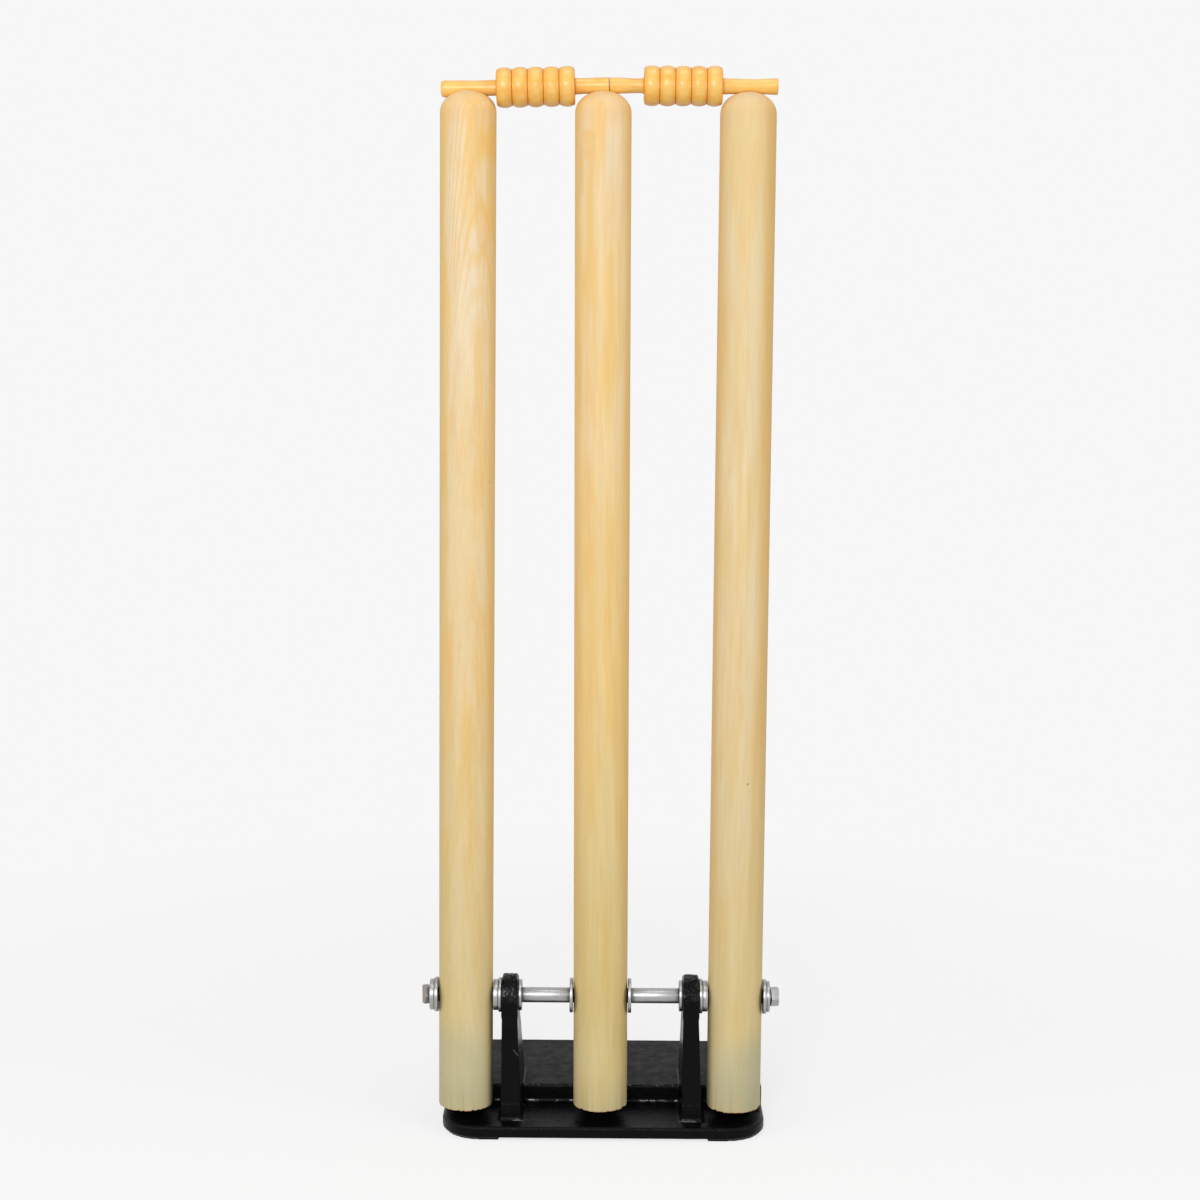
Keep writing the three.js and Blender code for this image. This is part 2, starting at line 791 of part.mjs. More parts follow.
function springAnchor() {
  const radius = anchorShankDiameter / 2;
  const collar = anchorCollarDiameter / 2;
  const seat = anchorSeatGap;
  const collarTop = seat + anchorCollarThickness;
  const neckTop = anchorRingRise - anchorMeanDiameter / 2;
  const body = turned([
    [0, -anchorShankLength],
    [radius, -anchorShankLength],
    [radius, seat],
    [collar, seat],
    [collar, collarTop - anchorCollarEdge],
    [collar - anchorCollarEdge, collarTop],
    [radius, collarTop],
    [radius, neckTop],
    [0, neckTop],
  ], eyeSteps);
  const ring = eyeRing(anchorMeanDiameter, anchorWireDiameter).translate(0, 0, anchorRingRise);
  return toGeometry(join(body, ring));
}

// Return springs

// The centre line of one spring, from the hook in the stump's eye to the hook in the anchor.
function springPath(eye, anchor) {
  const along = anchor.clone().sub(eye);
  const length = along.length();
  along.normalize();
  const across = new THREE.Vector3(1, 0, 0);
  across.addScaledVector(along, -across.dot(along)).normalize();
  const rise = along.clone().cross(across);
  const at = (u, v, w) => eye.clone()
    .addScaledVector(across, u)
    .addScaledVector(rise, v)
    .addScaledVector(along, w);

  const coil = springMeanDiameter / 2;
  const hook = springHookMeanDiameter / 2;
  const apart = (springWireDiameter + stumpEyeWireDiameter) / 2 + springHookGap;
  const farEnd = stumpEyeMeanDiameter / 2 - apart;
  const coilStart = farEnd + hook + springHookRise;
  const coilLength = length - 2 * coilStart;

  // One hook seen from its coil. The sign says which way it faces, and place turns its own heights into
  // heights along the spring.
  const hookPoints = (sign, place) => {
    const bend = new THREE.CubicBezierCurve3(
      new THREE.Vector3(0, -coil, 0),
      new THREE.Vector3(sign * hook * bendReachShare, -coil, springHookRise * bendRiseShare),
      new THREE.Vector3(sign * hook, 0, springHookRise * (1 - bendReachShare)),
      new THREE.Vector3(sign * hook, 0, springHookRise),
    );
    const points = bend.getPoints(bendSteps).slice(1);
    for (let step = 1; step <= hookSteps; step += 1) {
      const angle = Math.PI * step / hookSteps;
      points.push(new THREE.Vector3(
        sign * hook * Math.cos(angle),
        0,
        springHookRise + hook * Math.sin(angle),
      ));
    }
    points.push(new THREE.Vector3(-sign * hook, 0, springHookRise - springWireDiameter));
    return points.map((point) => at(point.x, point.y, place(point.z)));
  };

  const coilPoints = [];
  const steps = springTurns * curlSteps;
  for (let step = 0; step <= steps; step += 1) {
    const angle = 2 * Math.PI * step / curlSteps - Math.PI / 2;
    const height = coilStart + coilLength * step / steps;
    coilPoints.push(at(coil * Math.cos(angle), coil * Math.sin(angle), height));
  }
  return [
    ...hookPoints(-1, (height) => coilStart - height).reverse(),
    ...coilPoints,
    ...hookPoints(1, (height) => coilStart + coilLength + height),
  ];
}

// The smallest clear space between two stretches of a wire that are not neighbours along it.
function leastGap(points, diameter) {
  const travelled = [0];
  for (let i = 1; i < points.length; i += 1) {
    travelled.push(travelled[i - 1] + points[i].distanceTo(points[i - 1]));
  }
  let least = Infinity;
  for (let i = 0; i < points.length; i += 1) {
    for (let j = i + 1; j < points.length; j += 1) {
      if (travelled[j] - travelled[i] < Math.PI * diameter) continue;
      least = Math.min(least, points[i].distanceTo(points[j]) - diameter);
    }
  }
  return least;
}

// Assembly

function piece(name, geometry, material) {
  const mesh = new THREE.Mesh(geometry, material);
  mesh.name = name;
  return mesh;
}

const wicket = new THREE.Group();
wicket.add(piece('base_casting', baseCasting(), blackEnamel));

const axle = new THREE.Group();
axle.position.set(0, rowY, axleHeight);
axle.add(piece('axle_bolt', axleBolt(), yellowZinc));
axle.add(piece('axle_nut', axleNut(), zincPlate));
for (const { name, sign } of sides) {
  const endThickness = sign < 0 ? headWasherThickness : nutWasherThickness;
  const washers = [
    ['middle_stump', largeWasherDiameter, stack.middleWasher, innerWasherThickness],
    ['upright_inner', smallWasherDiameter, stack.uprightInnerWasher, innerWasherThickness],
    ['upright_outer', largeWasherDiameter, stack.uprightOuterWasher, uprightOuterWasherThickness],
    ['stump_inner', smallWasherDiameter, stack.stumpInnerWasher, stumpInnerWasherThickness],
    ['stump_outer', largeWasherDiameter, stack.stumpOuterWasher, stumpOuterWasherThickness],
    ['end', smallWasherDiameter, stack.endWasher, endThickness],
  ];
  for (const [place, diameter, from, thickness] of washers) {
    axle.add(piece(`washer_${name}_${place}`, washer(sign, diameter, from, thickness), zincPlate));
  }
  axle.add(piece(`spacer_tube_${name}`, spacerTube(sign), zincPlate));
}
for (const { name, x } of stations) {
  const sleeve = piece(`pivot_sleeve_${name}`, pivotSleeve(), zincPlate);
  sleeve.position.x = x;
  axle.add(sleeve);
}
wicket.add(axle);

for (const station of stations) {
  const { name, x, leanDegrees } = station;
  const swinging = new THREE.Group();
  swinging.position.set(x, rowY, axleHeight);
  swinging.rotation.y = THREE.MathUtils.degToRad(leanDegrees);
  swinging.add(piece(`stump_${name}`, stump(station), paleWood));
  swinging.add(piece(`stump_eye_${name}`, stumpEye(), zincPlate));
  swinging.updateMatrixWorld(true);
  wicket.add(swinging);

  const anchor = piece(`spring_anchor_${name}`, springAnchor(), zincPlate);
  anchor.position.set(x, anchorY, platformTopHeight + anchorPadHeight);
  wicket.add(anchor);

  const eyeCentre = new THREE.Vector3(0, stumpEyeCentre, -eyeDrop).applyMatrix4(swinging.matrixWorld);
  const anchorCentre = anchor.position.clone();
  anchorCentre.z += anchorRingRise;
  const path = springPath(eyeCentre, anchorCentre);
  const gap = leastGap(path, springWireDiameter).toFixed(2);
  console.log(`return_spring_${name}: least gap to itself ${gap} mm`);
  wicket.add(piece(`return_spring_${name}`, wire(path, springWireDiameter, wireSides), springSteel));
}

for (const { name, sign } of sides) {
  const line = bailLines[name];
  const mesh = piece(`bail_${name}`, bail(sign), lacqueredWood);
  const end = bailMeetingPlace + sign * bailEndGap / 2;
  mesh.position.set(end, rowY, line.heightAt(end));
  mesh.rotation.y = -line.angle;
  wicket.add(mesh);
}

export default wicket;
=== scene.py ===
"""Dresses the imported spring-back wicket: wood, cast iron, zinc plate and springs in a plain pale studio."""

import logging
import math
from collections.abc import Callable, Iterator
from contextlib import contextmanager
from dataclasses import dataclass
from enum import Enum
from functools import cache
from itertools import pairwise, product
from random import Random

import bmesh
import bpy
from mathutils import Matrix, Vector

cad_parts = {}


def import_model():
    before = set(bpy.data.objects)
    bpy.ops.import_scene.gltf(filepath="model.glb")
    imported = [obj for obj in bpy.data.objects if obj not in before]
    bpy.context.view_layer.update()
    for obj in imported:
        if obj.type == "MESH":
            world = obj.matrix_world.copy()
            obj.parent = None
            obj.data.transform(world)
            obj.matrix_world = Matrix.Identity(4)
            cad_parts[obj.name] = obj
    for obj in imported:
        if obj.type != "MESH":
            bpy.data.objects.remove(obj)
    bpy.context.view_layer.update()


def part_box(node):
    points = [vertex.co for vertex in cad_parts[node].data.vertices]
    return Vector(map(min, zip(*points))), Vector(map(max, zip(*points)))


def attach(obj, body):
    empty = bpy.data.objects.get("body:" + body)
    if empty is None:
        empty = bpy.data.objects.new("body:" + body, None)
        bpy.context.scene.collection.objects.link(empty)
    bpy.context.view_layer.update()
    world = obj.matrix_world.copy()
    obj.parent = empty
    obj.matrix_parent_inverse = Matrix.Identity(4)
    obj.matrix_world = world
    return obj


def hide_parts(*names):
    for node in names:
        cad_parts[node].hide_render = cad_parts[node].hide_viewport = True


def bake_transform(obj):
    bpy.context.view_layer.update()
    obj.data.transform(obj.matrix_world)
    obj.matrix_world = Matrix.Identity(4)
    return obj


log = logging.getLogger("wicket")

Span = tuple[float, float]
Profile = list[Span]
Colour = tuple[float, float, float]
Object = bpy.types.Object
Tree = bpy.types.NodeTree

MM = 0.001
NEAR = 1e-5
QUARTER = math.pi / 2
X_AXIS = Vector((1.0, 0.0, 0.0))
Y_AXIS = Vector((0.0, 1.0, 0.0))
Z_AXIS = Vector((0.0, 0.0, 1.0))


@dataclass(frozen=True)
class Axle:
    """The line that the three stumps turn on."""

    y: float = -0.0488
    z: float = 0.0976

    def at(self, x: float) -> Vector:
        """The point on the axle at x."""
        return Vector((x, self.y, self.z))


AXLE = Axle()


class Named(Enum):
    """A choice whose name is part of the names of pieces."""

    @property
    def word(self) -> str:
        """The name as the pieces have it."""
        return self.name.lower()


class Side(Named):
    """An end of the axle, as the bowler sees it."""

    LEFT = -1
    RIGHT = 1


class Station(Named):
    """A stump's place on the axle: its distance from the middle and its lean to the right, in degrees."""

    LEFT = (-0.09525, 0.21)
    MIDDLE = (0.0, -0.2)
    RIGHT = (0.09525, 0.02)

    @property
    def x(self) -> float:
        """The stump's distance from the middle."""
        return self.value[0]

    @property
    def centre(self) -> Vector:
        """Where the stump crosses the axle."""
        return AXLE.at(self.x)

    @property
    def lean(self) -> float:
        """The stump's lean to the right, in radians."""
        return math.radians(self.value[1])


class PlateTone(Enum):
    """The tint of a zinc plating, as a linear colour."""

    BRIGHT = (0.395, 0.395, 0.397)
    YELLOWED = (0.285, 0.258, 0.236)
    # Painted shade: near black, for steel in the shaded gaps beside the stumps and on shaded washer faces.
    SHADOWED = (0.05, 0.045, 0.04)


# Workbench: the moves of the hand that every piece is made with


def swept(start: float, end: float, steps: int) -> list[Span]:
    """The cosines and sines of angles spread evenly from start to end."""
    angles = (start + (end - start) * step / steps for step in range(steps + 1))
    return [(math.cos(angle), math.sin(angle)) for angle in angles]


def tilted(centre: Vector, angle: float) -> Matrix:
    """A turn about the line through a point along Y."""
    return Matrix.Translation(centre) @ Matrix.Rotation(angle, 4, "Y") @ Matrix.Translation(-centre)


def pick(obj: Object | None = None) -> None:
    """Leaves edit mode and selects one piece alone, or nothing at all.

    Args:
        obj: The piece, which is made active.
    """
    if bpy.context.object and bpy.context.object.mode != "OBJECT":
        bpy.ops.object.mode_set(mode="OBJECT")
    bpy.ops.object.select_all(action="DESELECT")
    if obj:
        obj.select_set(True)
        bpy.context.view_layer.objects.active = obj


@contextmanager
def editing(obj: Object) -> Iterator[None]:
    """Opens a piece in edit mode and closes it again.

    Args:
        obj: The piece.
    """
    pick(obj)
    bpy.ops.object.mode_set(mode="EDIT")
    yield
    bpy.ops.object.mode_set(mode="OBJECT")


def named(name: str) -> Object:
    """Names the piece that was just added and settles its place into its mesh.

    Args:
        name: The piece's name.

    Returns:
        The piece.
    """
    obj = bpy.context.object
    obj.name = name
    obj.data.name = name
    pick(obj)
    bpy.ops.object.transform_apply(location=True, rotation=True, scale=True)
    return obj


def block(name: str, low: Vector, high: Vector) -> Object:
    """Adds a box.

    Args:
        name: The piece's name.
        low: Its lowest corner.
        high: Its highest corner.

    Returns:
        The box.
    """
    pick()
    bpy.ops.mesh.primitive_cube_add(size=1.0, location=(low + high) / 2, scale=high - low)
    return named(name)


def rod(
    name: str, start: Vector, end: Vector, radius: float, sides: int = 64, far: float | None = None
) -> Object:
    """Adds a round rod or a cone between two points.

    Args:
        name: The piece's name.
        start: The middle of one end.
        end: The middle of the other end.
        radius: The radius at the start.
        sides: How many sides it has.
        far: The radius at the end, if that is another.

    Returns:
        The rod.
    """
    along = end - start
    form = {"vertices": sides, "depth": along.length, "location": (start + end) / 2}
    form["rotation"] = along.to_track_quat("Z", "Y").to_euler()
    pick()
    if far is None:
        bpy.ops.mesh.primitive_cylinder_add(radius=radius, **form)
    else:
        bpy.ops.mesh.primitive_cone_add(radius1=radius, radius2=far, **form)
    return named(name)


def choose(obj: Object, kind: str, test: Callable[[Vector], bool], middle: bool = False) -> None:
    """Selects edges or faces of a mesh in edit mode.

    Args:
        obj: The mesh.
        kind: EDGE or FACE.
        test: Says whether a place is wanted.
        middle: Whether the test is for the part's middle, and not for each of its corners.
    """
    bpy.ops.mesh.select_mode(type=kind)
    bpy.ops.mesh.select_all(action="DESELECT")
    mesh = bmesh.from_edit_mesh(obj.data)
    for part in mesh.edges if kind == "EDGE" else mesh.faces:
        places = [corner.co for corner in part.verts]
        if middle:
            places = [sum(places, Vector()) / len(places)]
        if all(test(place) for place in places):
            part.select_set(True)
    bmesh.update_edit_mesh(obj.data)


def bevel(radius: float, steps: int, rim: bool = False) -> None:
    """Rounds the selected edges, or the rim of the selected faces.

    Args:
        radius: The rounding's radius.
        steps: How many faces it has.
        rim: Whether it is the rim.
    """
    if rim:
        bpy.ops.mesh.region_to_loop()
    bpy.ops.mesh.bevel(offset=radius, segments=steps, profile=0.5, affect="EDGES", clamp_overlap=True)


def pull(along: Vector) -> None:
    """Pulls the selected faces out, with new walls behind them."""
    bpy.ops.mesh.extrude_region_move(TRANSFORM_OT_translate={"value": along})


def modify(obj: Object, kind: str, **settings: object) -> None:
    """Adds a modifier to a piece and applies it.

    Args:
        obj: The piece.
        kind: The modifier's type.
        settings: The modifier's values.
    """
    pick(obj)
    modifier = obj.modifiers.new(kind.title(), kind)
    for key, value in settings.items():
        setattr(modifier, key, value)
    bpy.ops.object.modifier_apply(modifier=modifier.name)


def combine(obj: Object, operation: str, *tools: Object) -> None:
    """Joins, cuts or trims a piece by tools, which are used up.

    Args:
        obj: The piece.
        operation: UNION, DIFFERENCE or INTERSECT.
        tools: The solids that it is joined to, cut by or trimmed to, one after another.
    """
    for tool in tools:
        modify(obj, "BOOLEAN", object=tool, operation=operation, solver="EXACT")
        bpy.data.objects.remove(tool, do_unlink=True)


def tidy_shell(obj: Object, weld: float = 1e-6) -> None:
    """Merges the doubles of a mesh and turns its faces outwards.

    Args:
        obj: The piece.
        weld: The distance under which corners are one.
    """
    with editing(obj):
        bpy.ops.mesh.select_all(action="SELECT")
        bpy.ops.mesh.remove_doubles(threshold=weld)
        bpy.ops.mesh.normals_make_consistent(inside=False)


def draw(name: str, points: list[Vector]) -> Object:
    """Draws a line of edges, from one vertex extruded again and again.

    Args:
        name: The piece's name.
        points: The line's points.

    Returns:
        The line, left in edit mode with all of it selected.
    """
    pick()
    bpy.ops.mesh.primitive_plane_add(size=MM, location=points[0])
    obj = named(name)
    bpy.ops.object.mode_set(mode="EDIT")
    bpy.ops.mesh.select_mode(type="VERT")
    bpy.ops.mesh.select_all(action="SELECT")
    bpy.ops.mesh.merge(type="CENTER")
    for before, after in pairwise(points):
        bpy.ops.mesh.extrude_vertices_move(TRANSFORM_OT_translate={"value": after - before})
    bpy.ops.mesh.select_all(action="SELECT")
    return obj


def prism(name: str, outline: list[Vector], along: Vector) -> Object:
    """Draws a closed outline and pulls it out into a solid.

    Args:
        name: The piece's name.
        outline: The corners of the outline, in order.
        along: How far it is pulled.

    Returns:
        The solid.
    """
    obj = draw(name, [*outline, outline[0]])
    bpy.ops.mesh.remove_doubles(threshold=1e-6)
    bpy.ops.mesh.select_all(action="SELECT")
    bpy.ops.mesh.edge_face_add()
    pull(along)
    tidy_shell(obj)
    return obj


def turn(name: str, profile: Profile, centre: Vector, axis: Vector = X_AXIS, steps: int = 64) -> Object:
    """Turns a piece on a lathe: draws its profile and spins it round.

    Args:
        name: The piece's name.
        profile: Pairs of radius and distance along the axis.
        centre: The point on the axis that the distances are counted from.
        axis: The lathe's axis.
        steps: How many sides the piece has.

    Returns:
        The turned piece.
    """
    out = Z_AXIS if abs(axis.dot(Z_AXIS)) < 0.5 else X_AXIS
    obj = draw(name, [centre + out * radius + axis * place for radius, place in profile])
    bpy.ops.mesh.spin(steps=steps, angle=math.tau, center=centre, axis=axis)
    tidy_shell(obj)
    return obj


# Node trees


class Field:
    """What a node puts out: a number, colour or place that varies over a surface."""

    def __init__(self, socket: bpy.types.NodeSocket) -> None:
        """Takes the node's output."""
        self.socket = socket

    def add(self, kind: str, inputs: dict, output: str | int = 0, **settings: object) -> "Field":
        """Adds a node to this field's tree, as add_node does."""
        return add_node(self.socket.id_data, kind, inputs, output, **settings)

    def math(self, operation: str, *others: object) -> "Field":
        """Does a sum that starts with this number."""
        return self.add("Math", dict(enumerate((self, *others))), operation=operation)

    def __add__(self, other: object) -> "Field":
        """Adds a number."""
        return self.math("ADD", other)

    def __sub__(self, other: object) -> "Field":
        """Takes a number away."""
        return self.math("SUBTRACT", other)

    def __mul__(self, other: object) -> "Field":
        """Multiplies by a number, or fades a mask by another."""
        return self.math("MULTIPLY", other)

    def __or__(self, other: object) -> "Field":
        """The greater of two numbers, or both of two masks."""
        return self.math("MAXIMUM", other)

    def vector(self, operation: str, *others: object) -> "Field":
        """Does a sum that starts with this place."""
        output = "Vector" if operation in ("SUBTRACT", "CROSS_PRODUCT") else "Value"
        return self.add("VectorMath", dict(enumerate((self, *others))), output, operation=operation)

    def part(self, axis: int) -> "Field":
        """This place's X, Y or Z, as axis is 0, 1 or 2."""
        return self.add("SeparateXYZ", {0: self}, axis)

    def mapped(self, scale: Colour, shift: Colour = (0, 0, 0), turned: Colour = (0, 0, 0)) -> "Field":
        """This place, stretched, turned by radians and shifted."""
        return self.add("Mapping", {"Vector": self, "Location": shift, "Rotation": turned, "Scale": scale})

    def noise(self, detail: float, roughness: float = 0.5, scale: object = 1.0) -> "Field":
        """Noise at this place, from 0 to 1."""
        values = {"Vector": self, "Scale": scale, "Detail": detail, "Roughness": roughness}
        return self.add("TexNoise", values, "Fac")

    def ramp(self, low: float, high: float, start: float = 0.0, end: float = 1.0) -> "Field":
        """Maps a range of this number smoothly onto another.

        Args:
            low: The number that gives start.
            high: The number that gives end.
            start: The result at low and beyond.
            end: The result at high and beyond.

        Returns:
            The result.
        """
        values = {"Value": self, "From Min": low, "From Max": high, "To Min": start, "To Max": end}
        return self.add("MapRange", values, interpolation_type="SMOOTHSTEP")

    def band(self, low: float, high: float, soft: float) -> "Field":
        """Masks a range of this number, fading in above low and out beyond high."""
        return self.ramp(low, low + soft) * self.ramp(high + soft, high)

    def spot(self, point: Colour, radius: float) -> "Field":
        """Masks a small round spot about a point."""
        return self.vector("DISTANCE", point).ramp(radius, radius * 0.4)

    def mix(self, first: object, second: object) -> "Field":
        """Mixes two colours, with this share of the second."""
        return self.add("Mix", {0: self, 6: first, 7: second}, 2, data_type="RGBA")

    def dimmed(self, number: "Field") -> "Field":
        """This colour, times a number."""
        return self.add("Mix", {0: 1.0, 6: self, 7: number}, 2, data_type="RGBA", blend_type="MULTIPLY")


def fill(node: bpy.types.Node, inputs: dict) -> bpy.types.Node:
    """Wires fields into a node's inputs and sets the others to plain values.

    Args:
        node: The node.
        inputs: Fields, numbers, places or colours by the input's name or place.

    Returns:
        The node.
    """
    for key, value in inputs.items():
        socket = node.inputs[key]
        if isinstance(value, Field):
            node.id_data.links.new(value.socket, socket)
        else:
            socket.default_value = (*value, 1.0) if socket.type == "RGBA" else value
    return node


def add_node(tree: Tree, kind: str, inputs: dict, output: str | int = 0, **settings: object) -> Field:
    """Adds a node.

    Args:
        tree: The tree that it goes into.
        kind: Its type without the ShaderNode prefix.
        inputs: What fill puts into it.
        output: The output that is wanted.
        settings: Its properties.

    Returns:
        That output.
    """
    node = tree.nodes.new(f"ShaderNode{kind}")
    for key, value in settings.items():
        setattr(node, key, value)
    return Field(fill(node, inputs).outputs[output])


def make_group(name: str, inputs: dict[str, str], work_out: Callable[..., dict[str, Field]]) -> Tree:
    """Builds a shader node group.

    Args:
        name: The group's name.
        inputs: Input names with their socket types.
        work_out: Gives the numbers that the group puts out, by name, from its inputs.

    Returns:
        The group.
    """
    tree = bpy.data.node_groups.new(name, "ShaderNodeTree")
    for key, kind in inputs.items():
        tree.interface.new_socket(key, in_out="INPUT", socket_type=f"NodeSocket{kind}")
    entry = tree.nodes.new("NodeGroupInput")
    results = work_out(*(Field(entry.outputs[key]) for key in inputs))
    for key in results:
        tree.interface.new_socket(key, in_out="OUTPUT", socket_type="NodeSocketFloat")
    fill(tree.nodes.new("NodeGroupOutput"), results)
    return tree


class Effects:
    """The node groups that more than one finish uses."""

    def __init__(self) -> None:
        """Builds the groups."""
        given = {"Vector": "Vector", "Ring width": "Float", "Waviness": "Float"}
        self.wood = make_group("Wood figure", given, self.figure)
        given = {"Vector": "Vector", "Fine": "Float", "Broad": "Float"}
        self.mottle = make_group("Mottle", given, self.speckled)

    def figure(self, place: Field, ring_width: Field, waviness: Field) -> dict[str, Field]:
        """Growth rings round a pith along Z, broad streaks and fine fibres.

        Args:
            place: Where the wood is read, in metres.
            ring_width: How far apart the rings are.
            waviness: How far they wander.

        Returns:
            The three, from 0 to 1.
        """
        x, y = place.part(0), place.part(1)
        radius = (x * x + y * y).math("SQRT")
        bent = radius + place.mapped((22.0, 22.0, 2.2)).noise(3.0) * waviness
        wave = (bent.math("DIVIDE", ring_width) * math.tau).math("SINE")
        return {
            "Rings": (wave * 0.5 + 0.5).math("POWER", 2.2),
            "Streaks": place.mapped((240.0, 240.0, 12.0)).noise(4.0, 0.6),
            "Fibres": place.mapped((1500.0, 1500.0, 45.0)).noise(2.0),
        }

    def speckled(self, place: Field, fine: Field, broad: Field) -> dict[str, Field]:
        """Speckle at a fine scale and patches at a broad one, for enamel and plating."""
        return {"Speckle": place.noise(4.0, scale=fine), "Patches": place.noise(3.0, scale=broad)}


@cache
def effects() -> Effects:
    """The shared node groups, built when they are first used."""
    return Effects()


# Finishes


@dataclass(frozen=True)
class Finish:
    """A material and the slot of the record that it stands for."""

    material: bpy.types.Material
    slot: str


class Paint:
    """A material in the making: its tree, its shader and the Object coordinates that its patterns read."""

    def __init__(self, name: str) -> None:
        """Starts the material."""
        self.material = bpy.data.materials.new(name)
        self.material.use_nodes = True
        self.tree = self.material.node_tree
        self.shader = self.tree.nodes["Principled BSDF"]
        self.place = add_node(self.tree, "TexCoord", {}, "Object")

    def facing(self, axis: int) -> Field:
        """How much the surface faces along an axis, from -1 to 1."""
        return add_node(self.tree, "TexCoord", {}, "Normal").part(axis)

    def effect(self, group: Tree, **values: object) -> list[Field]:
        """Places a shared effect in the material.

        Args:
            group: The effect's node group.
            values: The group's inputs, with underscores for spaces.

        Returns:
            The group's outputs.
        """
        node = self.tree.nodes.new("ShaderNodeGroup")
        node.node_tree = group
        fill(node, {key.replace("_", " "): value for key, value in values.items()})
        return [Field(output) for output in node.outputs]

    def finish(self, slot: str, inputs: dict, height: Field, depth: float, strength: float) -> Finish:
        """Gives the shader its values and its bumps.

        Args:
            slot: The record's slot.
            inputs: The shader's inputs.
            height: The bumps, from 0 to 1.
            depth: How high 1 is.
            strength: How strongly they show.

        Returns:
            The finish.
        """
        bumps = {"Strength": strength, "Distance": depth, "Height": height}
        fill(self.shader, {**inputs, "Normal": add_node(self.tree, "Bump", bumps)})
        return Finish(self.material, slot)


@dataclass(frozen=True)
class Spot:
    """A small round place on a piece of wood with a colour of its own."""

    point: Colour
    radius: float
    colour: Colour
    share: float = 1.0


PIN_MARK = (0.3, 0.16, 0.06)
DAMP = (0.42, 0.46, 0.33)
RESIN = (0.86, 0.50, 0.11)


@dataclass(frozen=True)
class StumpWood:
    """Pale varnished wood in soft bands, with a painted sheen towards the top and painted shade that makes it
    darker and cooler towards the foot and on its flanks; its sawn end is bare.

    Pairs of heights or of normals give where a tone starts and where it is full.
    """

    shift: Colour
    turned: Colour
    stain: Colour
    spots: tuple[Spot, ...] = ()
    figure: float = 0.14
    figured: Span = (0.0, 0.01)
    waviness: float = 0.05
    ring_width: float = 0.0042
    # Painted sheen: the creamier tone painted towards the top, where the lamps' sheen falls.
    sheen_tone: Colour = (0.85, 0.66, 0.41)
    pale: Colour = (0.85, 0.63, 0.30)
    golden: Colour = (0.84, 0.56, 0.18)
    # Painted shade: the darker, more orange tone painted on the flanks that face left and right.
    edge: Colour = (0.83, 0.53, 0.155)
    left_flank_shade: Span = (-0.6, -1.0)
    right_flank_shade: Span = (0.6, 1.0)
    rosy: Colour = (0.85, 0.535, 0.215)
    # Painted shade: darker, cooler tones towards the foot, where less light reaches.
    low_shade_tone: Colour = (0.75, 0.60, 0.285)
    low_shade_gold: Colour = (0.73, 0.54, 0.205)
    washed: Colour = (0.74, 0.64, 0.36)
    raw: Colour = (0.80, 0.49, 0.29)
    # Heights over which painted shade darkens the foot and a painted sheen lightens the top.
    low_shading: Span = (0.43, 0.14)
    sheen_levels: Span = (0.5, 0.68)
    dome: Span = (0.694, 0.714)
    washing: Span = (0.17, 0.09)
    sawn_end: Span = (0.0192, 0.0186)

    def make(self, name: str) -> Finish:
        """Builds the finish.

        Args:
            name: The material's name.

        Returns:
            The finish.
        """
        paint = Paint(name)
        place, height = paint.place, paint.place.part(2)
        mapped = place.mapped((1.0, 1.0, 1.0), self.shift, self.turned)
        rings, streaks, fibres = paint.effect(
            effects().wood, Vector=mapped, Ring_width=self.ring_width, Waviness=self.waviness
        )
        level = place.mapped((28.0, 28.0, 9.0), self.stain).noise(2.0) * 0.16 + height
        # Painted shade darkens and cools the wood towards the foot; a painted sheen lightens it towards the
        # top.
        low = level.ramp(*self.low_shading)
        gold = low.mix(self.golden, self.low_shade_gold)
        tone = low.mix(level.ramp(*self.sheen_levels).mix(self.pale, self.sheen_tone), self.low_shade_tone)
        bands = place.mapped((80.0, 80.0, 8.0), self.stain).noise(3.0, 0.55)
        tone = bands.ramp(0.4, 0.68, 0.0, 0.8).mix(tone, gold)
        blush = mapped.mapped((120.0, 120.0, 17.0), self.turned).noise(3.0, 0.55)
        tone = blush.ramp(0.48, 0.72, 0.0, 0.6).mix(tone, low.mix(self.rosy, self.low_shade_gold))
        ringed = height.ramp(*self.figured, 0.15, 1.0) * self.figure
        tone = (rings * ringed).mix(tone, gold)
        tone = height.ramp(*self.dome, 0.0, 0.5).mix(tone, self.rosy)
        # Painted shade on the flanks that face left and right.
        side = paint.facing(0)
        flank_shade = (side.ramp(*self.right_flank_shade) | side.ramp(*self.left_flank_shade)) * 0.75
        tone = flank_shade.mix(tone, low.mix(self.edge, self.low_shade_gold))
        lowest = level.ramp(*self.washing, 0.0, 0.7) * bands.ramp(0.62, 0.42, 0.35, 1.0)
        tone = lowest.mix(tone, self.washed)
        tone = tone.dimmed(streaks.ramp(0.35, 0.65, 0.975, 1.02))
        tone = tone.dimmed(fibres.ramp(0.32, 0.68, 0.975, 1.02))
        for spot in self.spots:
            tone = (place.spot(spot.point, spot.radius) * spot.share).mix(tone, spot.colour)
        sawn = height.ramp(*self.sawn_end)
        surface = {
            "Base Color": sawn.mix(tone, self.raw),
            "Roughness": streaks.ramp(0.3, 0.7, 0.44, 0.54) | sawn,
            "Specular IOR Level": 0.25,
        }
        return paint.finish("pale_wood", surface, fibres, 0.00005, 0.35)


